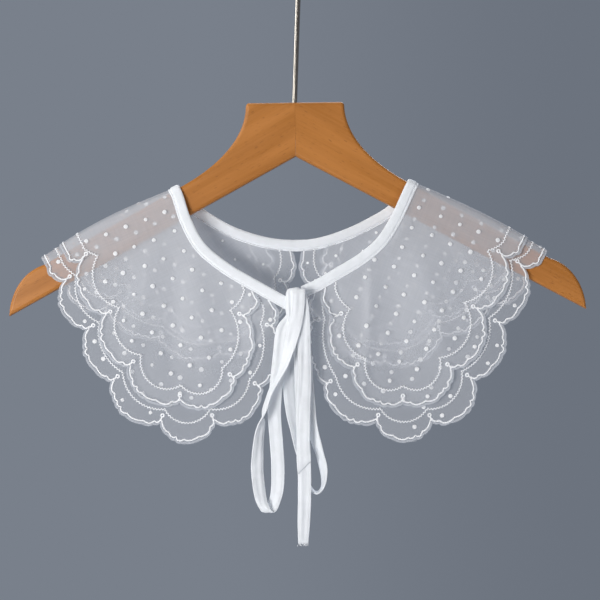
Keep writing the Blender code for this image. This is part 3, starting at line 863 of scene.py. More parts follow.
@dataclass(frozen=True)
class Studio:
    """The camera of the photograph, soft light from the front left, a grey-blue room and a pale floor.

    Attributes:
        middle: The point that the camera looks at.
        distance: How far before that point the camera stands.
        lens: Focal length in millimetres, on a sensor 36 mm wide.
        roll: How far the camera leans, in degrees.
        lights: The soft boxes.
        floor_level: Height of the floor.
        floor_radius: Radius of the round floor.
        floor_sides: Points of its rim.
    """

    middle: tuple[float, float, float] = (0.00185, 0.0, -0.28555)
    distance: float = 1.5
    lens: float = 117.8
    roll: float = -0.75
    lights: tuple[Softbox, ...] = (
        Softbox("key", (-1.3, -2.15, -0.45), 0.9, 51.0, "#FFFDFB"),
        Softbox("side", (-1.8, -0.2, 0.6), 1.0, 15.0),
        Softbox("fill", (1.3, -1.7, -0.95), 1.4, 13.0, "#F2F6FF"),
        Softbox("overhead", (0.0, 0.0, 1.5), 1.2, 7.5),
        Softbox("behind", (0.6, 1.6, 1.3), 1.2, 30.0, "#F2F6FF"),
    )
    floor_level: float = -1.55
    floor_radius: float = 1.1
    floor_sides: int = 96

    def build(self) -> None:
        """Makes everything round the object."""
        self.make_camera()
        self.make_room()
        for box in self.lights:
            self.make_light(box)
        self.make_floor()
        scene = bpy.context.scene
        scene.view_settings.view_transform = "Standard"
        scene.cycles.transparent_max_bounces = 24

    def make_camera(self) -> None:
        """Stands the camera level with the middle of the collar."""
        lens = bpy.data.cameras.new("camera")
        lens.lens = self.lens
        lens.sensor_width = 36.0
        lens.clip_start = 0.05
        camera = bpy.data.objects.new("camera", lens)
        bpy.context.scene.collection.objects.link(camera)
        x, y, z = self.middle
        turn = Matrix.Rotation(math.pi / 2, 4, "X") @ Matrix.Rotation(math.radians(self.roll), 4, "Z")
        camera.matrix_world = Matrix.Translation((x, y - self.distance, z)) @ turn
        bpy.context.scene.camera = camera

    def make_room(self) -> None:
        """A grey-blue room, a little darker to the right of the object and darkest behind the camera."""
        world = bpy.data.worlds.new("room")
        world.use_nodes = True
        tree = world.node_tree
        where = add(tree, "ShaderNodeTexCoord").outputs["Generated"]
        split = add(tree, "ShaderNodeSeparateXYZ", {0: where})
        ramp = add(
            tree,
            "ShaderNodeMapRange",
            {0: split, 1: -0.06, 2: 0.15, 3: 0.0, 4: 1.0},
            interpolation_type="SMOOTHSTEP",
        )
        tint = add(
            tree, "ShaderNodeMix", {0: ramp, 6: linear("#79808B"), 7: linear("#6C737E")}, data_type="RGBA"
        )
        front = add(tree, "ShaderNodeMapRange", {0: split.outputs[1], 1: -0.5, 2: 0.5, 3: 0.0, 4: 1.0})
        room = add(
            tree, "ShaderNodeMix", {0: front, 6: linear("#4C4B4C"), 7: tint.outputs[2]}, data_type="RGBA"
        )
        tree.links.new(room.outputs[2], tree.nodes["Background"].inputs["Color"])
        bpy.context.scene.world = world

    def make_light(self, box: Softbox) -> None:
        """Stands one soft box in the room and aims it at the collar.

        Args:
            box: The soft box.
        """
        light = bpy.data.lights.new(box.name, "AREA")
        light.energy = box.power
        light.size = box.size
        light.color = linear(box.colour)[:3]
        lamp = bpy.data.objects.new(box.name, light)
        bpy.context.scene.collection.objects.link(lamp)
        lamp.location = box.place
        lamp.rotation_euler = (Vector(self.middle) - Vector(box.place)).to_track_quat("-Z", "Y").to_euler()

    def make_floor(self) -> None:
        """A round floor far below, out of the camera's view."""
        ring = np.linspace(0.0, 2 * math.pi, self.floor_sides, endpoint=False)
        x, y = self.floor_radius * np.cos(ring), self.floor_radius * np.sin(ring)
        points = np.stack([x, y, np.full(self.floor_sides, self.floor_level)], axis=-1)
        floor = new_piece("floor", points, [tuple(range(self.floor_sides))], PaleFloor().build())


# Hanger


@dataclass(frozen=True)
class HangerArm:
    """One of the two wooden arms: a bent outline, rounded along its edges.

    Attributes:
        side: The half of the hanger.
        half_span: Distance from the middle to the tip.
        tip_down: How far down the tip's lower corner is.
        notch_down: How far down the lower edge is at the middle.
        crown_half: Half the width of the crown.
        corner: Radius of the crown's corner.
        edge_round: Radius of the rounded edges.
        tip_clear: Length before the tip without points, so that the edge can be rounded there.
        glue_gap: Distance of the glued face from the middle plane.
        neck_end: How far out the neck's curve meets the straight top.
        top_end: How far out the straight top ends.
        steps: Steps of each curve of the outline.
        round_steps: Steps of the rounded edge.
        bore_radius: Radius of the hole that the hook stands in.
        bore_depth: Depth of that hole.
    """

    side: Side
    half_span: float = 219.9
    tip_down: float = 160.0
    notch_down: float = 40.9
    crown_half: float = 37.5
    corner: float = 2.8
    edge_round: float = 2.6
    tip_clear: float = 5.8
    glue_gap: float = 0.04
    neck_end: float = 86.0
    top_end: float = 193.0
    steps: int = 110
    round_steps: int = 9
    bore_radius: float = 2.2
    bore_depth: float = 28.5

    def outline(self) -> Array:
        """The outline from the glued face along the top to the tip and back below.

        Returns:
            Rows of out and down.
        """
        angles = np.linspace(0.0, math.pi / 2, 7)
        corner = np.stack([np.sin(angles), -np.cos(angles)], axis=-1) * self.corner
        corner += (self.crown_half - self.corner, self.corner)
        neck_end = (self.neck_end, crest(self.neck_end))
        top_end = (self.top_end, crest(self.top_end))
        tip = np.array((self.half_span, self.tip_down))
        shoulder = bezier((top_end, (208.0, 125.5), (219.0, 141.0), tip), self.steps)
        clear = np.linalg.norm(shoulder - tip, axis=1) > self.tip_clear
        parts = [
            np.array([(self.glue_gap, 0.0)]),
            corner,
            bezier((corner[-1], (38.5, 30.0), (64.0, 50.0), neck_end), self.steps),
            np.array([top_end]),
            shoulder[clear],
            tip[None],
            np.array([(self.glue_gap, self.notch_down + self.glue_gap * math.tan(ARM_SLOPE))]),
        ]
        return np.vstack(parts)

    def drawn_in(self, outline: Array, distance: float) -> Array:
        """The outline moved inwards, with the glued face kept where it is.

        Args:
            outline: Rows of out and down.
            distance: How far to move it.

        Returns:
            As many rows.
        """
        edges = np.roll(outline, -1, axis=0) - outline
        inward = units(np.stack([-edges[:, 1], edges[:, 0]], axis=-1))
        reach = np.full(len(outline), distance)
        reach[-1] = 0.0
        before, before_reach = np.roll(inward, 1, axis=0), np.roll(reach, 1)
        cross = before[:, 0] * inward[:, 1] - before[:, 1] * inward[:, 0]
        straight = np.abs(cross) < 0.02
        safe = np.where(straight, 1.0, cross)
        x = (before_reach * inward[:, 1] - reach * before[:, 1]) / safe
        y = (before[:, 0] * reach - inward[:, 0] * before_reach) / safe
        plain = units(before + inward) * reach[:, None]
        return outline + np.where(straight[:, None], plain, np.stack([x, y], axis=-1))

    def build(self, hook_foot: Vector, hook_head: Vector) -> Object:
        """Makes the arm with its half of the hook's hole.

        Args:
            hook_foot: The lower end of the hook's shank, in metres.
            hook_head: A point of its middle line above the crown.

        Returns:
            The finished piece.
        """
        outline = self.outline()
        angles = [math.pi / 2 * k / self.round_steps for k in range(self.round_steps + 1)]
        edge = self.edge_round
        levels = [(edge * (1 - math.sin(a)), ARM_THICK / 2 - edge * (1 - math.cos(a))) for a in angles]
        sections = [(inset, -y) for inset, y in levels] + [(inset, y) for inset, y in reversed(levels)]
        rings = []
        for inset, y in sections:
            spots = self.drawn_in(outline, inset)
            rings.append(place(self.side, spots[:, 0], spots[:, 1], y))
        faces = tube_faces(len(sections), len(outline))
        name = f"wood_arm_{self.side.name.lower()}"
        arm = new_piece(name, np.vstack(rings), faces, LacqueredBeech(self.side).build())
        face_outwards(arm)
        self.bore(arm, hook_foot, hook_head)
        arm.data.set_sharp_from_angle(angle=math.radians(35))
        level = arm.modifiers.new("level", "WEIGHTED_NORMAL")
        level.keep_sharp = True
        apply_modifiers(arm)
        return finish_piece(arm, [f"hanger_arm_{self.side.name.lower()}"])

    def bore(self, arm: Object, foot: Vector, head: Vector) -> None:
        """Cuts the hole for the hook out of the arm.

        Args:
            arm: The arm.
            foot: The lower end of the hole.
            head: A point of its middle line above the crown.
        """
        run, radius = head - foot, self.bore_radius * MM
        at = Matrix.Translation((foot + head) / 2) @ run.to_track_quat("Z", "Y").to_matrix().to_4x4()
        shell = bmesh.new()
        bmesh.ops.create_cone(
            shell, cap_ends=True, segments=32, radius1=radius, radius2=radius, depth=run.length, matrix=at
        )
        mesh = bpy.data.meshes.new("bore")
        shell.to_mesh(mesh)
        shell.free()
        cutter = bpy.data.objects.new("bore", mesh)
        bpy.context.scene.collection.objects.link(cutter)
        cut = arm.modifiers.new("bore", "BOOLEAN")
        cut.operation = "DIFFERENCE"
        cut.solver = "EXACT"
        cut.object = cutter
        apply_modifiers(arm)
        bpy.data.objects.remove(cutter)


def apply_modifiers(piece: Object) -> None:
    """Turns the piece's evaluated shape into its own plain mesh.

    Args:
        piece: The piece.
    """
    graph = bpy.context.evaluated_depsgraph_get()
    mesh = bpy.data.meshes.new_from_object(piece.evaluated_get(graph))
    piece.modifiers.clear()
    old = piece.data
    piece.data = mesh
    bpy.data.meshes.remove(old)
    mesh.name = piece.name


@dataclass(frozen=True)
class HangerHook:
    """The bent steel wire that stands in the crown.

    Attributes:
        wire_radius: Radius of the wire.
        hook_radius: Radius of the round bend.
        shank_x: Where the shank meets the crown.
        lean: How far the shank leans for each millimetre up.
        in_wood: Length of the shank in the crown.
        straight: Length of the straight shank above it.
        bend_steps: Steps of the curve from the shank to the round bend.
        turn: Angle of the round bend in degrees.
        sides: Sides of the wire.
    """

    wire_radius: float = 2.05
    hook_radius: float = 20.0
    shank_x: float = -0.4
    lean: float = 0.047
    in_wood: float = 28.0
    straight: float = 84.0
    bend_steps: int = 20
    turn: int = 210
    sides: int = 24

    def shank(self, up: float) -> tuple[float, float]:
        """The point of the straight shank this far above the crown."""
        return (self.shank_x + self.lean * up, up)

    def in_frame(self, up: float) -> Vector:
        """The same point in metres."""
        x, up = self.shank(up)
        return Vector((x * MM, 0.0, (up - CROWN_DROP) * MM))

    def line(self) -> Array:
        """The hook's middle line.

        Returns:
            Rows of x and height above the crown.
        """
        middle_up = CROWN_DROP + self.wire_radius - self.hook_radius
        start = np.array([self.shank(up) for up in np.linspace(-self.in_wood, self.straight, 12)])
        begin, end = self.shank(self.straight), (self.hook_radius, middle_up)
        bend = bezier((begin, self.shank(98.0), (self.hook_radius, 97.0), end), self.bend_steps)
        angles = np.radians(np.arange(4, self.turn + 1, 4))
        angles[-1] = math.radians(self.turn)
        bow = np.stack([np.cos(angles), np.sin(angles)], axis=-1) * self.hook_radius + (0.0, middle_up)
        return np.vstack([start, bend, bow])

    def build(self) -> Object:
        """Makes the wire as a tube with a rounded tip.

        Returns:
            The finished piece.
        """
        line = self.line()
        run = units(np.gradient(line, axis=0))
        reach = [1.0] * len(line)
        for share in (0.35, 0.65, 0.88, 1.0):
            line = np.vstack([line, line[-1] + run[-1] * (self.wire_radius * 0.35)])
            run = np.vstack([run, run[-1]])
            reach.append(math.sqrt(max(1 - share**2, 0.02)))
        across = np.stack([run[:, 1], -run[:, 0]], axis=-1)
        points = []
        for (x, up), (ax, az), size in zip(line, across, reach):
            for k in range(self.sides):
                angle = 2 * math.pi * k / self.sides
                wide = math.cos(angle) * self.wire_radius * size
                deep = math.sin(angle) * self.wire_radius * size
                points.append(((x + ax * wide) * MM, deep * MM, (up + az * wide - CROWN_DROP) * MM))
        faces = tube_faces(len(line), self.sides)
        hook = new_piece("steel_hook", np.array(points), faces, PolishedSteel().build())
        face_outwards(hook)
        return finish_piece(hook, ["hanger_hook"])


# Cloth


@dataclass(frozen=True)
class Cusp:
    """A notch of the scalloped cord, and the scallop from it to the next one.

    Attributes:
        place: Where its ray starts on the neck.
        out: Distance from the middle plane.
        down: Distance below the crown.
        rise: How far the scallop stands out from the line between its two notches.
    """

    place: float
    out: float
    down: float
    rise: float


@dataclass(frozen=True)
class OrganzaLayer:
    """One cut piece of embroidered organza, from the centre front over the shoulder to the centre back.

    Attributes:
        level: On top or under.
        side: The half of the collar.
        lift: Distance from the arm's face.
        spread: How far its outer edge stands off further.
        fold_out: Where its cord crosses the arm's top.
        fold_rise: Rise of the scallop behind that point.
        line_inset: Distance of the inner stitched line's notches from those of the cord.
        line_rise: Rise of that line's scallops, as a share of the cord's.
        dot_start: Place of one dot, out and down.
        flat: Width and length of the rectangle that the piece is cut from, in metres. Not used.
        area: Its flat area in square metres. Not used.
        front: Notches before the arm.
        back: Notches behind the arm.
        wave_pitch: Length of the cord's small waves.
        wave_steps: Rows of points in one of them.
        columns: Points from the neck to the outer edge.
        crowding: How much closer these points stand at the outer edge, from 1 for even steps.
        fold_steps: Rows over half of the arm's top.
        ease: Over how many rows the cloth inside evens out the waves of its edge.
    """

    level: Level
    side: Side
    lift: float
    spread: float
    fold_out: float
    fold_rise: float
    line_inset: float
    line_rise: float
    dot_start: tuple[float, float]
    flat: tuple[float, float]
    area: float
    front: tuple[Cusp, ...]
    back: tuple[Cusp, ...]
    wave_pitch: float = 8.5
    wave_steps: int = 8
    columns: int = 22
    crowding: float = 1.15
    fold_steps: int = 6
    ease: int = 15

    @property
    def name(self) -> str:
        """The start of the names of its pieces."""
        return f"{self.side.name.lower()}_{self.level.value}"

    def shares(self) -> Array:
        """How far each point of a row is from the neck, as a share of the way to the outer edge."""
        return 1 - (1 - np.arange(self.columns) / (self.columns - 1)) ** self.crowding

    def rows(self, face: Face, margin: float) -> list[Cusp]:
        """The notches on one side of the arm, with the point over the arm.

        Args:
            face: Before or behind the arm.
            margin: How far outside the cord that point is.

        Returns:
            The notches in the order in which the neck passes them.
        """
        out, down = off_crest(self.fold_out + margin, ARM_ROUND)
        over = Cusp(1.0, out, down, self.fold_rise)
        return [*self.front, over] if face == Face.FRONT else [over, *self.back]

    def notches(self, rows: Sequence[Cusp], face: Face) -> tuple[Array, Array, Array]:
        """Places and directions of notches in the plane.

        Args:
            rows: The notches.
            face: Before or behind the arm.

        Returns:
            Their places, the outward direction of each scallop, and that of each notch.
        """
        spots = np.array([(row.out, row.down) for row in rows])
        chords = units(np.diff(spots, axis=0))
        aways = face * np.stack([chords[:, 1], -chords[:, 0]], axis=-1)
        return spots, aways, units(np.vstack([aways[:1], aways[:-1] + aways[1:], aways[-1:]]))

    def border(
        self, face: Face, margin: float, rise_share: float = 1.0, wave: float = 1.0
    ) -> tuple[Array, Array]:
        """A line that follows the scallops.

        Args:
            face: Before or behind the arm.
            margin: How far outside the cord it runs.
            rise_share: Its scallops' rise as a share of the cord's.
            wave: Height of its small waves.

        Returns:
            Rows of out and down, and the place on the neck of each.
        """
        rows = self.rows(face, margin)
        spots, aways, tips = self.notches(rows, face)
        reach = np.full(len(rows), margin)
        reach[-1 if face == Face.FRONT else 0] = 0.0
        notches = spots + tips * reach[:, None]
        points, places = [], []
        for i, row in enumerate(rows[:-1]):
            first, second = notches[i], notches[i + 1]
            chord = second - first
            length = np.linalg.norm(chord)
            half_turn = 2 * math.atan(2 * max(row.rise * rise_share, 0.1) / length)
            radius = length / (2 * math.sin(half_turn))
            waves = max(1, round(2 * half_turn * radius / self.wave_pitch))
            share = np.arange(waves * self.wave_steps) / (waves * self.wave_steps)
            angle = ((2 * share - 1) * half_turn)[:, None]
            arc = first + chord * (0.5 + radius * np.sin(angle) / length)
            arc += aways[i] * radius * (np.cos(angle) - math.cos(half_turn))
            turns = waves * (share + WAVE_DRIFT * np.sin(3 * math.pi * share))
            height = 1 + WAVE_UNEVEN * np.sin(2.3 * np.floor(turns) + 40 * row.place)
            bulge = height * np.abs(np.sin(math.pi * turns)) ** 0.75 - 0.5
            normal = np.sin(angle) * chord / length + np.cos(angle) * aways[i]
            arc += normal * (bulge * wave)[:, None]
            points.append(arc)
            places.append(row.place + (rows[i + 1].place - row.place) * share)
        points.append(notches[-1:])
        places.append([rows[-1].place])
        return np.vstack(points), np.concatenate(places)

    def hung_rows(self, face: Face) -> tuple[Array, Array]:
        """The cloth before or behind the arm.

        Args:
            face: Before or behind the arm.

        Returns:
            Rows of points in metres, and their places in the plane.
        """
        edge, places = self.border(face, EDGE_MARGIN)
        neck = seam_at(self.side, smoothed(places[:, None], self.ease)[:, 0])
        even = smoothed(edge, self.ease)
        share = self.shares()[None, :, None]
        spots = neck[:, None] + (even - neck)[:, None] * share + (edge - even)[:, None] * share**5
        points = hang(self.side, face, spots[..., 0], spots[..., 1], self.lift, share[..., 0], self.spread)
        return points, spots

    def folded_rows(self) -> tuple[Array, Array]:
        """The cloth over the arm's top.

        Returns:
            Rows of points in metres, and their places in the flat cut.
        """
        inner = NECK_FOLD_OUT[self.side] + SEAM_INSIDE * math.cos(ARM_SLOPE)
        outer = self.fold_out + EDGE_MARGIN
        share = self.shares()
        crossings = inner + (outer - inner) * share
        points, flat = [], []
        for face, turn in fold_rows(self.fold_steps):
            points.append(fold(self.side, face, crossings, turn, self.lift, share))
            depth = ARM_ROUND - FOLD_REACH * (1 + face * turn / 90)
            flat.append(off_crest(crossings, depth))
        return np.array(points), np.array(flat)

    def unfolded(self, spots: Array) -> Array:
        """Where places behind the arm lie in the flat cut, past the line where it folds.

        Args:
            spots: Places in the plane.

        Returns:
            Places in the flat cut.
        """
        depth = (spots[..., 1] - crest(spots[..., 0])) * math.cos(ARM_SLOPE)
        past = 2 * (depth - ARM_ROUND) + 2 * FOLD_REACH
        return spots + past[..., None] * np.array([math.sin(ARM_SLOPE), -math.cos(ARM_SLOPE)])

    def build(self) -> Object:
        """Makes the sheet, one thin surface in the middle of the solid's wall.

        Returns:
            The sheet, without its finish.
        """
        front, front_flat = self.hung_rows(Face.FRONT)
        over, over_flat = self.folded_rows()
        back, back_flat = self.hung_rows(Face.BACK)
        points = np.concatenate([front, over, back])
        flat = np.concatenate([front_flat, over_flat, self.unfolded(back_flat)])
        faces = grid_faces(*points.shape[:2])
        if self.side == Side.RIGHT:
            faces = [tuple(reversed(face)) for face in faces]
        sheet = new_piece(f"{self.name}_organza", points, faces, None)
        point_map(sheet, flat)
        depth = (front_flat[..., 1] - crest(front_flat[..., 0])) * math.cos(ARM_SLOPE)
        across = np.arange(self.columns) / (self.columns - 1)
        cover = np.tile(NECK_COVER + (EDGE_COVER - NECK_COVER) * across**1.5, (len(points), 1))
        over_arm = 1 - np.clip((depth - SHOULDER_DEPTH) / SHOULDER_FADE, 0.0, 1.0)
        cover[: len(front)] = np.maximum(cover[: len(front)], 1 + SHOULDER_COVER * over_arm)
        turning = slice(len(front), len(front) + len(over))
        cover[turning] = np.linspace(1 + SHOULDER_COVER, 1.0, len(over))[:, None]
        point_numbers(sheet, "cover", cover)
        return sheet


UNDER_LAYER = {
    "level": Level.UNDER,
    "lift": UNDER_LIFT,
    "spread": 0.0,
    "fold_rise": 5.0,
    "line_inset": 9.5,
    "line_rise": 0.68,
    "flat": (0.19, 0.31),
    "area": 0.040,
}
TOP_LAYER = {
    "level": Level.TOP,
    "lift": TOP_LIFT,
    "spread": TOP_SPREAD,
    "fold_rise": 4.0,
    "line_inset": 12.0,
    "line_rise": 1.0,
    "flat": (0.17, 0.28),
    "area": 0.033,
}
LAYERS = (
    OrganzaLayer(
        **UNDER_LAYER,
        side=Side.LEFT,
        fold_out=190.2,
        dot_start=(147.3, 194.2),
        front=(
            Cusp(0.10, 16.5, 157.0, 1.5),
            Cusp(0.12, 18.8, 169.9, 9.0),
            Cusp(0.20, 29.2, 215.5, 12.1),
            Cusp(0.32, 64.3, 241.0, 15.5),
            Cusp(0.48, 104.6, 240.5, 13.4),
            Cusp(0.65, 140.1, 209.1, 10.0),
            Cusp(0.80, 158.9, 169.6, 11.0),
            Cusp(0.93, 176.1, 133.1, 3.0),
        ),
        back=(
            Cusp(1.10, 176.0, 133.0, 10.0),
            Cusp(1.28, 148.0, 155.0, 7.0),
            Cusp(1.46, 107.5, 178.5, 10.0),
            Cusp(1.64, 60.0, 191.0, 11.0),
            Cusp(1.80, 26.0, 167.0, 9.0),
            Cusp(1.90, 9.2, 137.0, 3.0),
            Cusp(1.955, 3.4, 119.0, 1.0),
        ),
    ),
    OrganzaLayer(
        **TOP_LAYER,
        side=Side.LEFT,
        fold_out=175.5,
        dot_start=(109.0, 138.5),
        front=(
            Cusp(0.22, 30.4, 149.5, 2.0),
            Cusp(0.25, 39.8, 162.1, 9.0),
            Cusp(0.32, 48.2, 208.7, 12.5),
            Cusp(0.46, 90.0, 225.5, 12.5),
            Cusp(0.63, 127.6, 198.0, 11.0),
            Cusp(0.78, 145.6, 159.2, 11.0),
            Cusp(0.93, 162.8, 116.8, 3.0),
        ),
        back=(
            Cusp(1.09, 163.5, 119.0, 9.0),
            Cusp(1.28, 140.0, 146.0, 7.0),
            Cusp(1.46, 103.5, 164.0, 9.0),
            Cusp(1.62, 62.0, 179.0, 10.0),
            Cusp(1.70, 33.0, 158.0, 8.0),
            Cusp(1.74, 21.0, 124.0, 2.0),
            Cusp(1.775, 21.6, 114.6, 1.0),
        ),
    ),
    OrganzaLayer(
        **UNDER_LAYER,
        side=Side.RIGHT,
        fold_out=187.2,
        dot_start=(143.6, 201.1),
        front=(
            Cusp(0.05, 10.0, 150.0, 1.5),
            Cusp(0.07, 11.0, 166.0, 7.0),
            Cusp(0.15, 20.5, 214.4, 12.0),
            Cusp(0.28, 58.4, 242.3, 14.5),
            Cusp(0.46, 100.3, 242.9, 14.0),
            Cusp(0.64, 131.0, 211.5, 11.5),
            Cusp(0.80, 153.3, 169.9, 11.5),
            Cusp(0.94, 170.5, 126.4, 3.0),
        ),
        back=(
            Cusp(1.10, 174.0, 131.0, 10.0),
            Cusp(1.28, 149.0, 154.0, 8.0),
            Cusp(1.46, 110.5, 178.3, 11.0),
            Cusp(1.63, 66.2, 199.3, 11.0),
            Cusp(1.79, 28.0, 170.0, 9.0),
            Cusp(1.90, 10.0, 138.0, 3.0),
            Cusp(1.955, 4.0, 119.0, 1.0),
        ),
    ),
    OrganzaLayer(
        **TOP_LAYER,
        side=Side.RIGHT,
        fold_out=171.5,
        dot_start=(73.1, 126.3),
        front=(
            Cusp(0.13, 18.6, 148.0, 2.0),
            Cusp(0.16, 28.8, 163.0, 10.5),
            Cusp(0.25, 41.1, 202.3, 12.0),
            Cusp(0.42, 78.5, 228.4, 12.0),
            Cusp(0.60, 115.7, 203.3, 13.0),
            Cusp(0.78, 136.7, 159.1, 11.5),
            Cusp(0.94, 156.1, 118.6, 3.0),
        ),
        back=(
            Cusp(1.09, 160.0, 118.0, 9.0),
            Cusp(1.28, 139.0, 146.0, 7.0),
            Cusp(1.46, 105.0, 165.0, 10.0),
            Cusp(1.62, 64.0, 183.0, 10.0),
            Cusp(1.70, 36.0, 160.0, 8.0),
            Cusp(1.74, 22.0, 124.0, 2.0),
            Cusp(1.775, 22.0, 114.6, 1.0),
        ),
    ),
)


# Embroidery


def stitch_tree(name: str, sizes: Sequence[str], counts: Sequence[str] = ()) -> tuple[NodeTree, Sequence]:
    """Starts a Geometry Nodes tree with the inputs Geometry and Finish and others.

    Args:
        name: The tree's name.
        sizes: Names of inputs that are numbers.
        counts: Names of inputs that are whole numbers.

    Returns:
        The tree and the outputs that give its inputs, by name.
    """
    tree = bpy.data.node_groups.new(name, "GeometryNodeTree")
    tree.interface.new_socket("Geometry", in_out="INPUT", socket_type="NodeSocketGeometry")
    for label in sizes:
        tree.interface.new_socket(label, in_out="INPUT", socket_type="NodeSocketFloat")
    for label in counts:
        tree.interface.new_socket(label, in_out="INPUT", socket_type="NodeSocketInt")
    tree.interface.new_socket("Finish", in_out="INPUT", socket_type="NodeSocketMaterial")
    tree.interface.new_socket("Geometry", in_out="OUTPUT", socket_type="NodeSocketGeometry")
    return tree, add(tree, "NodeGroupInput").outputs


def end_tree(tree: NodeTree, shape: Node, finish: NodeSocket) -> None:
    """Makes the instances real, gives them their material and closes the tree.

    Args:
        tree: The tree.
        shape: The node that gives the stitches.
        finish: The output that gives their material.
    """
    real = add(tree, "GeometryNodeRealizeInstances", {0: shape})
    smooth = add(tree, "GeometryNodeSetShadeSmooth", {0: real})
    dressed = add(tree, "GeometryNodeSetMaterial", {"Geometry": smooth, "Material": finish})
    add(tree, "NodeGroupOutput", {0: dressed})


def named_vector(tree: NodeTree, name: str) -> NodeSocket:
    """The vector that the points keep under this name."""
    return add(tree, "GeometryNodeInputNamedAttribute", {"Name": name}, data_type="FLOAT_VECTOR").outputs[0]


def cord_tree() -> NodeTree:
    """A tree that lays a cord along a line of points, flat on the cloth.

    Its inputs are the cord's width, height and material. The points keep the cloth's normal as "facing".

    Returns:
        The tree.
    """
    tree, given = stitch_tree("laid_cord", ("Width", "Height"))
    line = add(tree, "GeometryNodeMeshToCurve", {0: given["Geometry"]})
    held = add(
        tree,
        "GeometryNodeSetCurveNormal",
        {"Curve": line, "Normal": named_vector(tree, "facing")},
        mode="FREE",
    )
    circle = add(tree, "GeometryNodeCurvePrimitiveCircle", {"Resolution": 8, "Radius": 0.5})
    size = add(tree, "ShaderNodeCombineXYZ", {0: given["Height"], 1: given["Width"], 2: 1.0})
    profile = add(tree, "GeometryNodeTransform", {"Geometry": circle.outputs["Curve"], "Scale": size})
    cord = add(tree, "GeometryNodeCurveToMesh", {"Curve": held, "Profile Curve": profile, "Fill Caps": True})
    end_tree(tree, cord, given["Finish"])
    return tree


def dot_tree() -> NodeTree:
    """A tree that sets a low dome of satin stitches on each point, on the cloth's normal "facing".

    Its inputs are the dome's width, height, unevenness from 0 to 1, seed and material.

    Returns:
        The tree.
    """
    tree, given = stitch_tree("satin_dots", ("Width", "Height", "Unevenness"), ("Seed",))
    ball = add(tree, "GeometryNodeMeshUVSphere", {"Segments": 10, "Rings": 6, "Radius": 0.5})
    size = add(tree, "ShaderNodeCombineXYZ", {0: given["Width"], 1: given["Width"], 2: given["Height"]})
    dome = add(tree, "GeometryNodeTransform", {"Geometry": ball.outputs["Mesh"], "Scale": size})
    spot = add(tree, "ShaderNodeSeparateXYZ", {0: add(tree, "GeometryNodeInputPosition")})
    ribbed = add(
        tree,
        "GeometryNodeStoreNamedAttribute",
        {"Geometry": dome, "Name": "run", "Value": spot},
        data_type="FLOAT",
        domain="POINT",
    )
    facing = add(
        tree, "FunctionNodeAlignRotationToVector", {"Vector": named_vector(tree, "facing")}, axis="Z"
    )
    least = add(tree, "ShaderNodeMath", {0: 1.0, 1: given["Unevenness"]}, operation="SUBTRACT")
    most = add(tree, "ShaderNodeMath", {0: 1.0, 1: given["Unevenness"]}, operation="ADD")
    share = add(tree, "FunctionNodeRandomValue", {"Seed": given["Seed"]}, data_type="FLOAT")
    feed(tree, share, {2: least, 3: most})
    dots = add(
        tree,
        "GeometryNodeInstanceOnPoints",
        {
            "Points": add(tree, "GeometryNodeMeshToPoints", {0: given["Geometry"]}),
            "Instance": ribbed,
            "Rotation": facing,
            "Scale": share.outputs[1],
        },
    )
    end_tree(tree, dots, given["Finish"])
    return tree


def ring_tree() -> NodeTree:
    """A tree that sets a small stitched ring with a stem on each point.

    Its inputs are the ring's radius, the thread's thickness, the stem's length and the material. The points
    keep the cloth's normal as "facing" and the stem's direction as "stem".

    Returns:
        The tree.
    """
    tree, given = stitch_tree("stemmed_rings", ("Radius", "Thickness", "Stem"))
    circle = add(tree, "GeometryNodeCurvePrimitiveCircle", {"Resolution": 14, "Radius": given["Radius"]})
    half = add(tree, "ShaderNodeMath", {0: given["Thickness"], 1: 0.5}, operation="MULTIPLY")
    profile = add(tree, "GeometryNodeCurvePrimitiveCircle", {"Resolution": 6, "Radius": half})
    ring = add(
        tree,
        "GeometryNodeCurveToMesh",
        {"Curve": circle.outputs["Curve"], "Profile Curve": profile.outputs["Curve"]},
    )
    far = add(tree, "ShaderNodeMath", {0: given["Radius"], 1: given["Stem"]}, operation="ADD")
    stem = add(
        tree,
        "GeometryNodeCurvePrimitiveLine",
        {
            "Start": add(tree, "ShaderNodeCombineXYZ", {1: given["Radius"]}),
            "End": add(tree, "ShaderNodeCombineXYZ", {1: far}),
        },
    )
    stalk = add(
        tree,
        "GeometryNodeCurveToMesh",
        {"Curve": stem, "Profile Curve": profile.outputs["Curve"], "Fill Caps": True},
    )
    both = add(tree, "GeometryNodeJoinGeometry", {0: ring})
    feed(tree, both, {0: stalk})
    turn = add(
        tree,
        "FunctionNodeAxesToRotation",
        {"Primary Axis": named_vector(tree, "facing"), "Secondary Axis": named_vector(tree, "stem")},
        primary_axis="Z",
        secondary_axis="Y",
    )
    rings = add(
        tree,
        "GeometryNodeInstanceOnPoints",
        {
            "Points": add(tree, "GeometryNodeMeshToPoints", {0: given["Geometry"]}),
            "Instance": both,
            "Rotation": turn,
        },
    )
    end_tree(tree, rings, given["Finish"])
    return tree


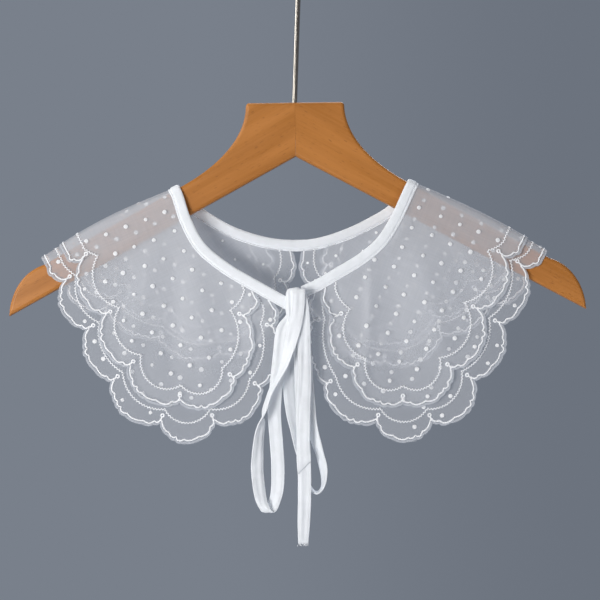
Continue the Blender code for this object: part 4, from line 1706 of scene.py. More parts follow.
def cross_stitch_tree() -> NodeTree:
    """A tree that lays a thin spine along a line, with short stitches across it that lean to and fro.

    Its inputs are the pitch and length of the stitches, the thread's thickness, the lean in radians and the
    material. The points keep the cloth's normal as "facing".

    Returns:
        The tree.
    """
    tree, given = stitch_tree("crossed_stitches", ("Pitch", "Length", "Thickness", "Lean"))
    line = add(tree, "GeometryNodeMeshToCurve", {0: given["Geometry"]})
    half = add(tree, "ShaderNodeMath", {0: given["Thickness"], 1: 0.5}, operation="MULTIPLY")
    profile = add(tree, "GeometryNodeCurvePrimitiveCircle", {"Resolution": 5, "Radius": half})
    spine = add(
        tree,
        "GeometryNodeCurveToMesh",
        {"Curve": line, "Profile Curve": profile.outputs["Curve"], "Fill Caps": True},
    )
    steps = add(tree, "GeometryNodeResampleCurve", {"Curve": line, "Length": given["Pitch"]}, mode="LENGTH")
    stitch = add(tree, "GeometryNodeMeshCylinder", {"Vertices": 6, "Radius": half, "Depth": given["Length"]})
    turn = add(
        tree,
        "FunctionNodeAxesToRotation",
        {
            "Primary Axis": named_vector(tree, "facing"),
            "Secondary Axis": add(tree, "GeometryNodeInputTangent"),
        },
        primary_axis="Y",
        secondary_axis="Z",
    )
    index = add(tree, "GeometryNodeInputIndex")
    parity = add(tree, "ShaderNodeMath", {0: index, 1: 2.0}, operation="MODULO")
    sign = add(tree, "ShaderNodeMath", {0: parity, 1: 2.0, 2: -1.0}, operation="MULTIPLY_ADD")
    lean = add(tree, "ShaderNodeMath", {0: sign, 1: given["Lean"]}, operation="MULTIPLY")
    angles = add(tree, "ShaderNodeCombineXYZ", {1: lean})
    leaned = add(
        tree,
        "FunctionNodeRotateRotation",
        {"Rotation": turn, "Rotate By": add(tree, "FunctionNodeEulerToRotation", {0: angles})},
        rotation_space="LOCAL",
    )
    stitches = add(
        tree,
        "GeometryNodeInstanceOnPoints",
        {"Points": steps, "Instance": stitch.outputs["Mesh"], "Rotation": leaned},
    )
    both = add(tree, "GeometryNodeJoinGeometry", {0: spine})
    feed(tree, both, {0: stitches})
    end_tree(tree, both, given["Finish"])
    return tree


@dataclass
class Guide:
    """Points on the cloth that stitches follow.

    Attributes:
        points: Places in metres.
        facing: The cloth's outward normal at each.
        stem: A direction for each, or none.
        pieces: Lengths of the unbroken lines that the points make up, or none for single points.
    """

    points: Array
    facing: Array
    stem: Array | None = None
    pieces: list[int] = field(default_factory=list)

    @classmethod
    def joined(cls, parts: Sequence["Guide"], **more: object) -> "Guide":
        """One guide of the points of several, with more of its fields if they are given."""
        facing = np.vstack([part.facing for part in parts])
        return cls(np.vstack([part.points for part in parts]), facing, **more)

    def lifted(self, height: float) -> "Guide":
        """The same guide this many millimetres off the cloth."""
        return Guide(self.points + self.facing * height * MM, self.facing, self.stem, self.pieces)

    def grow(self, name: str, tree: NodeTree, finish: Material, **values: float) -> Object:
        """Grows stitches on the guide and makes them a plain mesh.

        Args:
            name: The piece's name.
            tree: The Geometry Nodes tree that makes them.
            finish: Their material.
            **values: The tree's other inputs, lengths in metres.

        Returns:
            The object.
        """
        piece = new_piece(name, self.points, [], None)
        mesh = piece.data
        edges, first = [], 0
        for count in self.pieces:
            edges += [(i, i + 1) for i in range(first, first + count - 1)]
            first += count
        mesh.edges.add(len(edges))
        mesh.edges.foreach_set("vertices", np.asarray(edges, np.int32).ravel())
        self.keep(mesh, "facing", self.facing)
        if self.stem is not None:
            self.keep(mesh, "stem", self.stem)
        if self.pieces:
            point_numbers(piece, "run", length_along(self.points))
        stitches = piece.modifiers.new(tree.name, "NODES")
        stitches.node_group = tree
        wanted = {**values, "Finish": finish}
        for item in tree.interface.items_tree:
            if item.in_out == "INPUT" and item.name in wanted:
                stitches[item.identifier] = wanted[item.name]
        apply_modifiers(piece)
        return piece

    def keep(self, mesh: Mesh, name: str, vectors: Array) -> None:
        """Keeps a vector for each point under this name."""
        attribute = mesh.attributes.new(name, "FLOAT_VECTOR", "POINT")
        attribute.data.foreach_set("vector", np.asarray(vectors, np.float32).ravel())


@dataclass(frozen=True)
class Thread:
    """The sizes of the embroidery, in millimetres, as measured in the photograph.

    Attributes:
        cord_out: Distance of the wavy cord outside the line of the notches.
        cord_wave: Height of its waves.
        cord_width: Width of the wavy cord.
        cord_height: Height of the wavy cord.
        cord_lift: How far its middle is above the cloth.
        band_out: Distance of the flat satin band outside the cord.
        band_width: Width of the band.
        band_height: Height of the band.
        band_lift: How far its middle is above the cloth.
        cross_pitch: Spacing of the crossed stitches of the inner line.
        cross_length: Length of a crossed stitch.
        cross_thickness: Thickness of its thread.
        cross_lean: How far it leans, in degrees.
        cross_lift: How far its middle is above the cloth.
        dot_width: Width of a dot.
        dot_height: Height of a dot.
        dot_lift: How far its middle is above the cloth.
        dot_unevenness: How much the dots' sizes differ, as a share.
        ring_inside: Distance of a ring's middle inside its notch.
        ring_radius: Radius of a ring.
        ring_thickness: Thickness of its thread.
        ring_lift: How far its middle is above the cloth.
    """

    cord_out: float = -0.9
    cord_wave: float = 1.6
    cord_width: float = 1.2
    cord_height: float = 0.75
    cord_lift: float = 0.2
    band_out: float = 1.15
    band_width: float = 1.9
    band_height: float = 0.3
    band_lift: float = 0.1
    cross_pitch: float = 1.15
    cross_length: float = 2.3
    cross_thickness: float = 0.5
    cross_lean: float = 52.0
    cross_lift: float = 0.15
    dot_width: float = 3.3
    dot_height: float = 0.3
    dot_lift: float = 0.1
    dot_unevenness: float = 0.14
    ring_inside: float = 4.5
    ring_radius: float = 1.15
    ring_thickness: float = 1.25
    ring_lift: float = 0.25


# The dots' lattice in the flat cloth, how far dots stray from it, and how far they keep from other stitches.
DOT_STEPS = {Side.LEFT: ((15.0, 5.61), (-6.96, 15.02)), Side.RIGHT: ((14.7, 6.22), (-6.9, 14.69))}
DOT_REACH = 26
DOT_SCATTER = 0.45
DOT_FROM_CORD = 3.0
DOT_FROM_LINE = 2.4
DOT_FROM_BINDING = 6.2
UNDER_BINDING = 4.2


@dataclass
class Embroidery:
    """Everything stitched onto one layer: a wavy cord and a satin band, rings, an inner line and dots.

    Attributes:
        layer: The layer that carries it.
        sheet: The layer's finished sheet.
        thread: Sizes of the stitches.
        surface: The sheet's surface.
        outer: The cord's line before and behind the arm, which the dots keep clear of.
        inner: The inner line, likewise.
    """

    layer: OrganzaLayer
    sheet: Object
    thread: Thread
    surface: BVHTree = field(init=False)
    outer: dict[Face, Array] = field(init=False)
    inner: dict[Face, Array] = field(init=False)

    def __post_init__(self) -> None:
        """Keeps the sheet's surface and the two lines that the dots keep clear of."""
        mesh = self.sheet.data
        faces = [tuple(face.vertices) for face in mesh.polygons]
        self.surface = BVHTree.FromPolygons([point.co for point in mesh.vertices], faces)
        self.outer = {face: self.layer.border(face, self.thread.cord_out)[0] for face in Face}
        line = (-self.layer.line_inset, self.layer.line_rise, 0.0)
        self.inner = {face: self.layer.border(face, *line)[0] for face in Face}

    def on_cloth(self, face: Face, spots: Array) -> Guide:
        """Places on the cloth, straight before or behind places of the plane.

        Args:
            face: Before or behind the arm.
            spots: Places in the plane.

        Returns:
            The places with the cloth's normals.
        """
        points, facing = [], []
        for out, down in spots:
            start = Vector((self.layer.side * out * MM, face, (-CROWN_DROP - down) * MM))
            found, normal, _, _ = self.surface.ray_cast(start, Vector((0, -face, 0)))
            if found is None:
                near = hang(self.layer.side, face, out, down, self.layer.lift, 1.0, self.layer.spread)
                found, normal, _, _ = self.surface.find_nearest(Vector(near))
            points.append(found)
            facing.append(normal if normal.y * face > 0 else -normal)
        return Guide(np.array(points).reshape(-1, 3), np.array(facing).reshape(-1, 3))

    def nearest(self, near: Array, towards: Vector) -> tuple[Vector, Vector]:
        """The place on the cloth nearest to a point, and the normal there that looks this way."""
        found, normal, _, _ = self.surface.find_nearest(Vector(near))
        return found, normal if normal.dot(towards) > 0 else -normal

    def over_arm(self, crossing: float) -> Guide:
        """A line over the arm's top.

        Args:
            crossing: How far out it crosses the arm's top.

        Returns:
            The line from front to back.
        """
        inner = NECK_FOLD_OUT[self.layer.side] + SEAM_INSIDE * math.cos(ARM_SLOPE)
        share = (crossing - inner) / (self.layer.fold_out + EDGE_MARGIN - inner)
        found = []
        for face, turn in fold_rows(CORD_FOLD_STEPS):
            near = fold(self.layer.side, face, crossing, turn, self.layer.lift, share)
            outward = Vector((0, face * math.sin(math.radians(turn)), math.cos(math.radians(turn))))
            found.append(self.nearest(near, outward))
        return Guide(*np.array(found).transpose(1, 0, 2))

    def seed(self) -> int:
        """A seed of its own for each layer."""
        return 11 * (self.layer.side + 2) + (self.layer.level == Level.TOP)

    def to_binding(self, face: Face, spots: Array) -> Array:
        """Carries a line that follows the scallops on straight to the binding at its open end.

        Args:
            face: Before or behind the arm.
            spots: The line.

        Returns:
            The longer line.
        """
        first = face == Face.FRONT
        end = self.layer.rows(face, 0.0)[0 if first else -1]
        ahead = units(seam_at(self.layer.side, [end.place])[0] - (end.out, end.down))
        more = ahead * np.arange(1, 13)[:, None]
        return np.vstack([(spots[0] + more)[::-1], spots] if first else [spots, spots[-1] + more])

    def clear_of_neck(self, face: Face, spots: Array, reach: float) -> Array:
        """Which places lie clear of the binding, on the cloth's side of it.

        Args:
            face: Before or behind the arm.
            spots: Places in the plane.
            reach: How far from the binding's middle line they have to be.

        Returns:
            True or false for each place.
        """
        line, outward = neck_line(self.layer.side, face)
        gaps = np.linalg.norm(spots[:, None] - line[None], axis=2)
        nearest = gaps.argmin(axis=1)
        beyond = ((spots - line[nearest]) * outward[nearest]).sum(axis=1)
        return (beyond > 0) & (gaps.min(axis=1) > reach) & (spots[:, 0] > -0.5)

    def round_line(self, margin: float, rise_share: float, wave: float) -> Guide:
        """A line that follows the scallops from the centre front over the arm to the centre back.

        Args:
            margin: How far outside the cord it runs.
            rise_share: Its scallops' rise as a share of the cord's.
            wave: Height of its small waves.

        Returns:
            The line on the cloth.
        """
        parts = []
        for face in Face:
            spots = self.to_binding(face, self.layer.border(face, margin, rise_share, wave)[0])
            spots = spots[self.clear_of_neck(face, spots, UNDER_BINDING)]
            parts.append(self.on_cloth(face, spots))
        parts.insert(1, self.over_arm(self.layer.fold_out + margin))
        return Guide.joined(parts, pieces=[sum(len(part.points) for part in parts)])

    def rings(self) -> Guide:
        """The middles of the rings inside the notches.

        Returns:
            Them, with their stems towards the notches.
        """
        parts, stems = [], []
        for face in Face:
            spots, _, tips = self.layer.notches(self.layer.rows(face, 0.0), face)
            tips = tips[1:-1]
            centres = spots[1:-1] - tips * self.thread.ring_inside
            clear = self.clear_of_neck(face, centres, UNDER_BINDING + self.thread.ring_radius)
            parts.append(self.on_cloth(face, centres[clear]))
            out, down = tips[clear].T
            stems.append(np.stack([self.layer.side * out, 0 * out, -down], axis=-1))
        return Guide.joined(parts, stem=np.vstack(stems))

    def dots(self) -> Guide:
        """One lattice of dots over the whole layer, as it lies in the flat cloth before it is folded.

        Returns:
            The dots' middles.
        """
        first, second = (np.array(step) for step in DOT_STEPS[self.layer.side])
        counts = np.arange(-DOT_REACH, DOT_REACH + 1)
        i, j = np.meshgrid(counts, counts)
        flat = np.array(self.layer.dot_start) + i.reshape(-1, 1) * first + j.reshape(-1, 1) * second
        flat = flat + np.random.default_rng(self.seed()).normal(0.0, DOT_SCATTER, flat.shape)
        depth = (flat[:, 1] - crest(flat[:, 0])) * math.cos(ARM_SLOPE)
        crossing = flat[:, 0] + depth * math.sin(ARM_SLOPE)
        fronts = flat[depth >= ARM_ROUND]
        behind = depth <= ARM_ROUND - 2 * FOLD_REACH
        backs = off_crest(crossing[behind], 2 * (ARM_ROUND - FOLD_REACH) - depth[behind])
        parts = [self.dots_on(Face.FRONT, fronts), self.dots_on(Face.BACK, backs)]
        folded = (depth < ARM_ROUND) & (depth > ARM_ROUND - 2 * FOLD_REACH)
        inner = NECK_FOLD_OUT[self.layer.side] + DOT_FROM_BINDING
        outer = self.layer.fold_out - DOT_FROM_CORD
        folded &= (crossing > inner) & (crossing < outer)
        found = []
        neck_out = NECK_FOLD_OUT[self.layer.side]
        for out, down in zip(crossing[folded], depth[folded]):
            round_arm = (ARM_ROUND - down) / FOLD_REACH - 1
            face = Face.FRONT if round_arm < 0 else Face.BACK
            share = (out - neck_out) / (self.layer.fold_out - neck_out)
            near = fold(self.layer.side, face, out, 90 * abs(round_arm), self.layer.lift, share)
            found.append(self.nearest(near, Vector((0, 0, 1))))
        if found:
            parts.append(Guide(*np.array(found).transpose(1, 0, 2)))
        return Guide.joined(parts)

    def dots_on(self, face: Face, spots: Array) -> Guide:
        """The dots before or behind the arm: those on the cloth that keep clear of the other stitches.

        Args:
            face: Before or behind the arm.
            spots: Their places in the plane.

        Returns:
            Their middles on the cloth.
        """
        edge = self.outer[face]
        neck = neck_line(self.layer.side, face)[0]
        keep = self.clear_of_neck(face, spots, DOT_FROM_BINDING)
        keep &= inside_outline(spots, np.vstack([edge, neck[::-1]]))
        keep &= self.distance(spots, edge) > DOT_FROM_CORD
        keep &= self.distance(spots, self.inner[face]) > DOT_FROM_LINE
        return self.on_cloth(face, spots[keep])

    def distance(self, spots: Array, line: Array) -> Array:
        """How far each place is from the nearest point of a line."""
        return np.linalg.norm(spots[:, None] - line[None], axis=2).min(axis=1)

    def build(self, trees: dict[str, NodeTree], finishes: dict[str, Material]) -> list[Object]:
        """Makes the embroidery's pieces.

        Args:
            trees: The Geometry Nodes trees by name.
            finishes: Materials of the raised stitches ("thread"), the band ("band") and the dots ("dots").

        Returns:
            The pieces.
        """
        size, name = self.thread, self.layer.name
        cord = self.round_line(size.cord_out, 1.0, size.cord_wave).lifted(size.cord_lift)
        band = self.round_line(size.band_out, 1.0, 1.0).lifted(size.band_lift)
        line = self.round_line(-self.layer.line_inset, self.layer.line_rise, 0.0).lifted(size.cross_lift)
        dots, rings = self.dots().lifted(size.dot_lift), self.rings().lifted(size.ring_lift)
        cord_sizes = {"Width": size.cord_width * MM, "Height": size.cord_height * MM}
        band_sizes = {"Width": size.band_width * MM, "Height": size.band_height * MM}
        line_sizes = {
            "Pitch": size.cross_pitch * MM,
            "Length": size.cross_length * MM,
            "Thickness": size.cross_thickness * MM,
            "Lean": math.radians(size.cross_lean),
        }
        dot_sizes = {
            "Width": size.dot_width * MM,
            "Height": size.dot_height * MM,
            "Unevenness": size.dot_unevenness,
            "Seed": self.seed(),
        }
        ring_sizes = {
            "Radius": size.ring_radius * MM,
            "Thickness": size.ring_thickness * MM,
            "Stem": (size.ring_inside - size.ring_radius) * MM,
        }
        made = [
            cord.grow(f"{name}_cord", trees["cord"], finishes["thread"], **cord_sizes),
            band.grow(f"{name}_band", trees["cord"], finishes["band"], **band_sizes),
            line.grow(f"{name}_inner_line", trees["cross"], finishes["thread"], **line_sizes),
            dots.grow(f"{name}_dots", trees["dot"], finishes["dots"], **dot_sizes),
            rings.grow(f"{name}_rings", trees["ring"], finishes["thread"], **ring_sizes),
        ]
        for piece in made:
            finish_piece(piece)
        return made


def inside_outline(spots: Array, outline: Array) -> Array:
    """Which places lie inside a closed outline.

    Args:
        spots: Places in the plane.
        outline: Corners of the outline.

    Returns:
        True or false for each place.
    """
    x, y = spots[:, 0][:, None], spots[:, 1][:, None]
    ax, ay = outline[:, 0], outline[:, 1]
    bx, by = np.roll(ax, -1), np.roll(ay, -1)
    crosses = (ay > y) != (by > y)
    rise = np.where(by == ay, 1e-9, by - ay)
    left = x < (bx - ax) * (y - ay) / rise + ax
    return (crosses & left).sum(axis=1) % 2 == 1


# Binding and bow


@dataclass(frozen=True)
class Pillow:
    """The cross-section of a folded tape: soft edges and a shallow groove where it is stitched.

    Attributes:
        width: Width of the tape.
        thick: Thickness of the tape.
        groove_places: Distances of the stitched grooves from the middle, as shares of half the width.
        trough: Depth of the wide soft hollow along the middle, where the folded tape is thinnest.
        groove_depth: Depth of a groove.
        groove_width: Half its width, as a share of half the tape's width.
        softness: Higher for squarer edges.
        steps: Points of each side.
    """

    width: float
    thick: float
    groove_places: tuple[float, ...] = ()
    trough: float = 0.0
    groove_depth: float = 0.35
    groove_width: float = 0.1
    softness: float = 3.0
    steps: int = 15

    def points(self) -> Array:
        """Points round the section.

        Returns:
            Rows of the share across, from -1 to 1, and the height in millimetres.
        """
        across = -np.cos(np.linspace(0.0, math.pi, self.steps + 1))
        height = (1 - np.abs(across) ** self.softness) ** (1 / self.softness) * self.thick / 2
        for groove in self.groove_places:
            height -= self.groove_depth * np.exp(-(((across - groove) / self.groove_width) ** 2))
        height -= self.trough * np.exp(-((across / 0.45) ** 2))
        height = np.maximum(height, 0.0)
        top = np.stack([across, height], axis=-1)
        return np.vstack([top, (top * (1, -1))[-2:0:-1]])


# A tape's cut end is thinner: over this length in millimetres, down to this share of its thickness.
END_TAPER = 5.0
END_THIN = 0.15


def tape_mesh(
    name: str,
    middles: Array,
    halves: Array,
    normals: Array,
    section: Pillow,
    relief: Array,
    finish: Material,
) -> Object:
    """A closed tape along a line.

    Args:
        name: The piece's name.
        middles: Points of its middle line in metres.
        halves: At each, the vector from the middle to its edge.
        normals: At each, the direction out of its face.
        section: Its cross-section.
        relief: Millimetres that the surface moves out, for each row and each point of the section.
        finish: Its material.

    Returns:
        The object.
    """
    shape = section.points()
    run = length_along(middles) / MM
    full = np.clip(np.minimum(run, run[-1] - run) / END_TAPER, END_THIN, 1.0)[:, None]
    height = (shape[:, 1][None] * full + relief)[..., None] * MM
    points = middles[:, None] + halves[:, None] * shape[:, 0][None, :, None] + normals[:, None] * height
    tape = new_piece(name, points, tube_faces(len(middles), len(shape)), finish)
    face_outwards(tape)
    wide = np.linalg.norm(halves, axis=1) / MM
    across = shape[:, 0][None] * wide[:, None]
    point_map(tape, np.stack([np.broadcast_to(run[:, None], across.shape), across], axis=-1))
    return tape


def waviness(run: Array, across: Array, size: float, seed: int) -> Array:
    """Soft unevenness of folded cotton, for each distance along and across a tape.

    Args:
        run: Distances along the tape in millimetres.
        across: Shares across it.
        size: Height of the unevenness in millimetres.
        seed: Chooses the pattern.

    Returns:
        A row for each distance along.
    """
    chance = np.random.default_rng(seed)
    total = np.zeros((len(run), len(across)))
    for _ in range(7):
        length = chance.uniform(9.0, 38.0)
        skew = chance.uniform(-2.4, 2.4)
        phase = chance.uniform(0.0, 2 * math.pi)
        total += np.sin(2 * math.pi * run[:, None] / length + skew * across[None] + phase)
    return total * size / 3


@dataclass(frozen=True)
class NeckBinding:
    """The bias binding of the neck, from the knot over one shoulder, round the back and over the other.

    Attributes:
        section: Its cross-section.
        stitch_place: Share across it of the row of stitches.
        stitch_pitch: Spacing of the stitches.
        stitch_length: Length of a stitch.
        stitch_width: Width of its thread.
        stitch_height: Height of its thread.
        seam_x: Where the binding was pieced, behind the neck.
        seam_depth: Depth of that seam.
        seam_width: Half its width.
        unevenness: Height of its fine unevenness.
    """

    section: Pillow = Pillow(
        BINDING_WIDTH, BINDING_THICK, groove_places=(0.64,), groove_depth=0.7, groove_width=0.12, steps=22
    )
    stitch_place: float = 0.64
    stitch_pitch: float = 2.6
    stitch_length: float = 1.7
    stitch_width: float = 0.45
    stitch_height: float = 0.3
    seam_x: float = -4.3
    seam_depth: float = 0.45
    seam_width: float = 0.5
    unevenness: float = 0.12

    def hung(self, side: Side, face: Face) -> Array:
        """The binding before or behind the arm.

        Args:
            side: The half of the collar.
            face: Before or behind the arm.

        Returns:
            Inner edge, middle and outer edge for each point of the neck's line, in metres.
        """
        line, outward = neck_line(side, face)
        if face == Face.FRONT:
            ahead = int(np.argmax(line[:, 0] > line[0, 0] + 2.0))
            run = units(line[ahead] - line[0])
            fade = np.clip(1 - np.arange(len(line)) / FINE_STEPS, 0, 1)
        rows = []
        for share in (-0.5, 0.0, 0.5):
            spots = line + outward * BINDING_WIDTH * share
            if face == Face.FRONT:
                end = (abs(NECK_END_X[side]) - spots[0, 0]) / run[0]
                spots = spots + run * (fade * end)[:, None]
            rows.append(hang(side, face, spots[:, 0], spots[:, 1], BINDING_LIFT))
        return np.stack(rows, axis=1)

    def folded(self, side: Side) -> Array:
        """The binding over the arm's top.

        Args:
            side: The half of the collar.

        Returns:
            Inner edge, middle and outer edge for each row, in metres.
        """
        half = BINDING_WIDTH / 2 * math.cos(ARM_SLOPE)
        crossings = NECK_FOLD_OUT[side] + half * np.array([-1.0, 0.0, 1.0])
        turns = fold_rows(BINDING_FOLD_STEPS)
        return np.array([fold(side, face, crossings, turn, BINDING_LIFT) for face, turn in turns])

    def rows(self) -> Array:
        """The whole binding.

        Returns:
            Inner edge, middle and outer edge for each row from the left end to the right one, in metres.
        """
        halves = []
        for side in Side:
            parts = [self.hung(side, Face.FRONT), self.folded(side), self.hung(side, Face.BACK)]
            halves.append(np.concatenate(parts))
        return np.concatenate([halves[0], halves[1][-2::-1]])

    def build(self, finish: Material, thread: Material, tree: NodeTree) -> list[Object]:
        """Makes the binding and its row of stitches.

        Args:
            finish: Material of the tape.
            thread: Material of the stitches.
            tree: The tree that lays cords.

        Returns:
            The binding and its stitches.
        """
        rows = self.rows()
        middles = rows[:, 1]
        halves = (rows[:, 2] - rows[:, 0]) / 2
        run = units(np.gradient(middles, axis=0))
        normals = units(np.cross(run, units(halves)))
        shape = self.section.points()
        along = length_along(middles) / MM
        relief = waviness(along, shape[:, 0], self.unevenness, 3) * np.sign(shape[:, 1] + 1e-6)[None]
        off = (middles[:, 0] / MM - self.seam_x) / self.seam_width
        seam = -self.seam_depth * np.exp(-(off**2)) * (middles[:, 1] > 0)
        relief += seam[:, None] * np.sign(shape[:, 1] + 1e-6)[None]
        tape = tape_mesh("bias_binding", middles, halves, normals, self.section, relief, finish)
        finish_piece(tape, ["neck_binding"])
        level = np.interp(self.stitch_place, shape[: self.section.steps, 0], shape[: self.section.steps, 1])
        guide = self.stitches(along, middles + halves * self.stitch_place + normals * level * MM, normals)
        sizes = {"Width": self.stitch_width * MM, "Height": self.stitch_height * MM}
        sewn = guide.grow("binding_stitches", tree, thread, **sizes)
        finish_piece(sewn)
        return [tape, sewn]

    def stitches(self, along: Array, line: Array, normals: Array) -> Guide:
        """Short pieces of thread in the groove.

        Args:
            along: The distance of each row along the binding, in millimetres.
            line: The groove's bottom at each, in metres.
            normals: The direction out of the binding's face at each.

        Returns:
            Four points for each stitch, whose ends dip into the tape.
        """
        starts = np.arange(2.0, along[-1] - 3.0, self.stitch_pitch)
        places = (starts[:, None] + np.linspace(0.0, self.stitch_length, 4)[None]).ravel()
        points = np.stack([np.interp(places, along, line[:, k]) for k in range(3)], axis=-1)
        facing = units(np.stack([np.interp(places, along, normals[:, k]) for k in range(3)], axis=-1))
        dip = np.tile([-0.1, 0.14, 0.14, -0.1], len(starts))[:, None]
        return Guide(points + facing * dip * MM, facing, pieces=[4] * len(starts))


@dataclass(frozen=True)
class Limb:
    """A row of a tie.

    Attributes:
        x: Its middle's distance to the right.
        down: Distance below the crown.
        y: Distance behind the middle of the hanger.
        lean: Turn of its width in the bow's plane, in degrees.
        turn: Turn of its width out of that plane, in degrees.
        width: Its width as a share of the tape's.
    """

    x: float
    down: float
    y: float
    lean: float
    turn: float
    width: float = 1.0


@dataclass(frozen=True)
class TapeCrease:
    """A soft crease along or across a tie.

    Attributes:
        start: Its first end: share along the tie and share across it.
        end: Its other end.
        width: Half its width in millimetres.
        height: How far it stands out, negative for a trough.
    """

    start: tuple[float, float]
    end: tuple[float, float]
    width: float
    height: float


@dataclass(frozen=True)
class Tie:
    """A loop or tail of the bow.

    Attributes:
        name: The name of its solid.
        rows: Its rows from the knot on.
        creases: Its creases.
        seed: Chooses its fine unevenness.
        section: Its cross-section.
        steps: Steps from each row to the next.
        unevenness: Height of its fine unevenness.
    """

    name: str
    rows: tuple[Limb, ...]
    creases: tuple[TapeCrease, ...] = ()
    seed: int = 1
    section: Pillow = Pillow(
        10.0, 1.8, groove_places=(-0.74, 0.74), trough=0.3, groove_depth=0.24, groove_width=0.08, steps=22
    )
    steps: int = 12
    unevenness: float = 0.26

    def build(self, finish: Material) -> Object:
        """Makes the tie as a closed tape with creases.

        Args:
            finish: Material of the tape.

        Returns:
            The finished piece.
        """
        table = [(row.x, row.down, row.y, row.lean, row.turn, row.width) for row in self.rows]
        rows = spline(table, self.steps)
        lean, turn = np.radians(rows[:, 3]), np.radians(rows[:, 4])
        across = np.stack([np.cos(turn) * np.cos(lean), np.sin(turn), np.cos(turn) * np.sin(lean)], axis=-1)
        middles = place(Side.RIGHT, rows[:, 0], rows[:, 1], rows[:, 2])
        halves = across * (rows[:, 5] * self.section.width / 2 * MM)[:, None]
        run = units(np.gradient(middles, axis=0))
        normals = units(np.cross(run, across))
        shape = self.section.points()
        along = length_along(middles) / MM
        relief = waviness(along, shape[:, 0], self.unevenness, self.seed)
        for crease in self.creases:
            relief += self.crease(crease, along, shape[:, 0])
        name = self.name.replace("bow_", "tie_")
        tie = tape_mesh(name, middles, halves, normals, self.section, relief, finish)
        finish_piece(tie, [self.name])
        return tie

    def crease(self, crease: TapeCrease, along: Array, across: Array) -> Array:
        """How far a crease moves each point of the tie.

        Args:
            crease: The crease.
            along: Distances along the tie.
            across: Shares across it.

        Returns:
            Millimetres for each.
        """
        spot_a = along[:, None] + 0 * across[None]
        spot_b = 0 * along[:, None] + across[None] * self.section.width / 2
        start = np.array([crease.start[0] * along[-1], crease.start[1] * self.section.width / 2])
        end = np.array([crease.end[0] * along[-1], crease.end[1] * self.section.width / 2])
        run = end - start
        length = np.linalg.norm(run)
        share = ((spot_a - start[0]) * run[0] + (spot_b - start[1]) * run[1]) / length**2
        off = ((spot_a - start[0]) * run[1] - (spot_b - start[1]) * run[0]) / length
        fade = np.clip(4 * share * (1 - share), 0, 1)
        return crease.height * fade * (2 - fade) * np.exp(-((off / crease.width) ** 2))


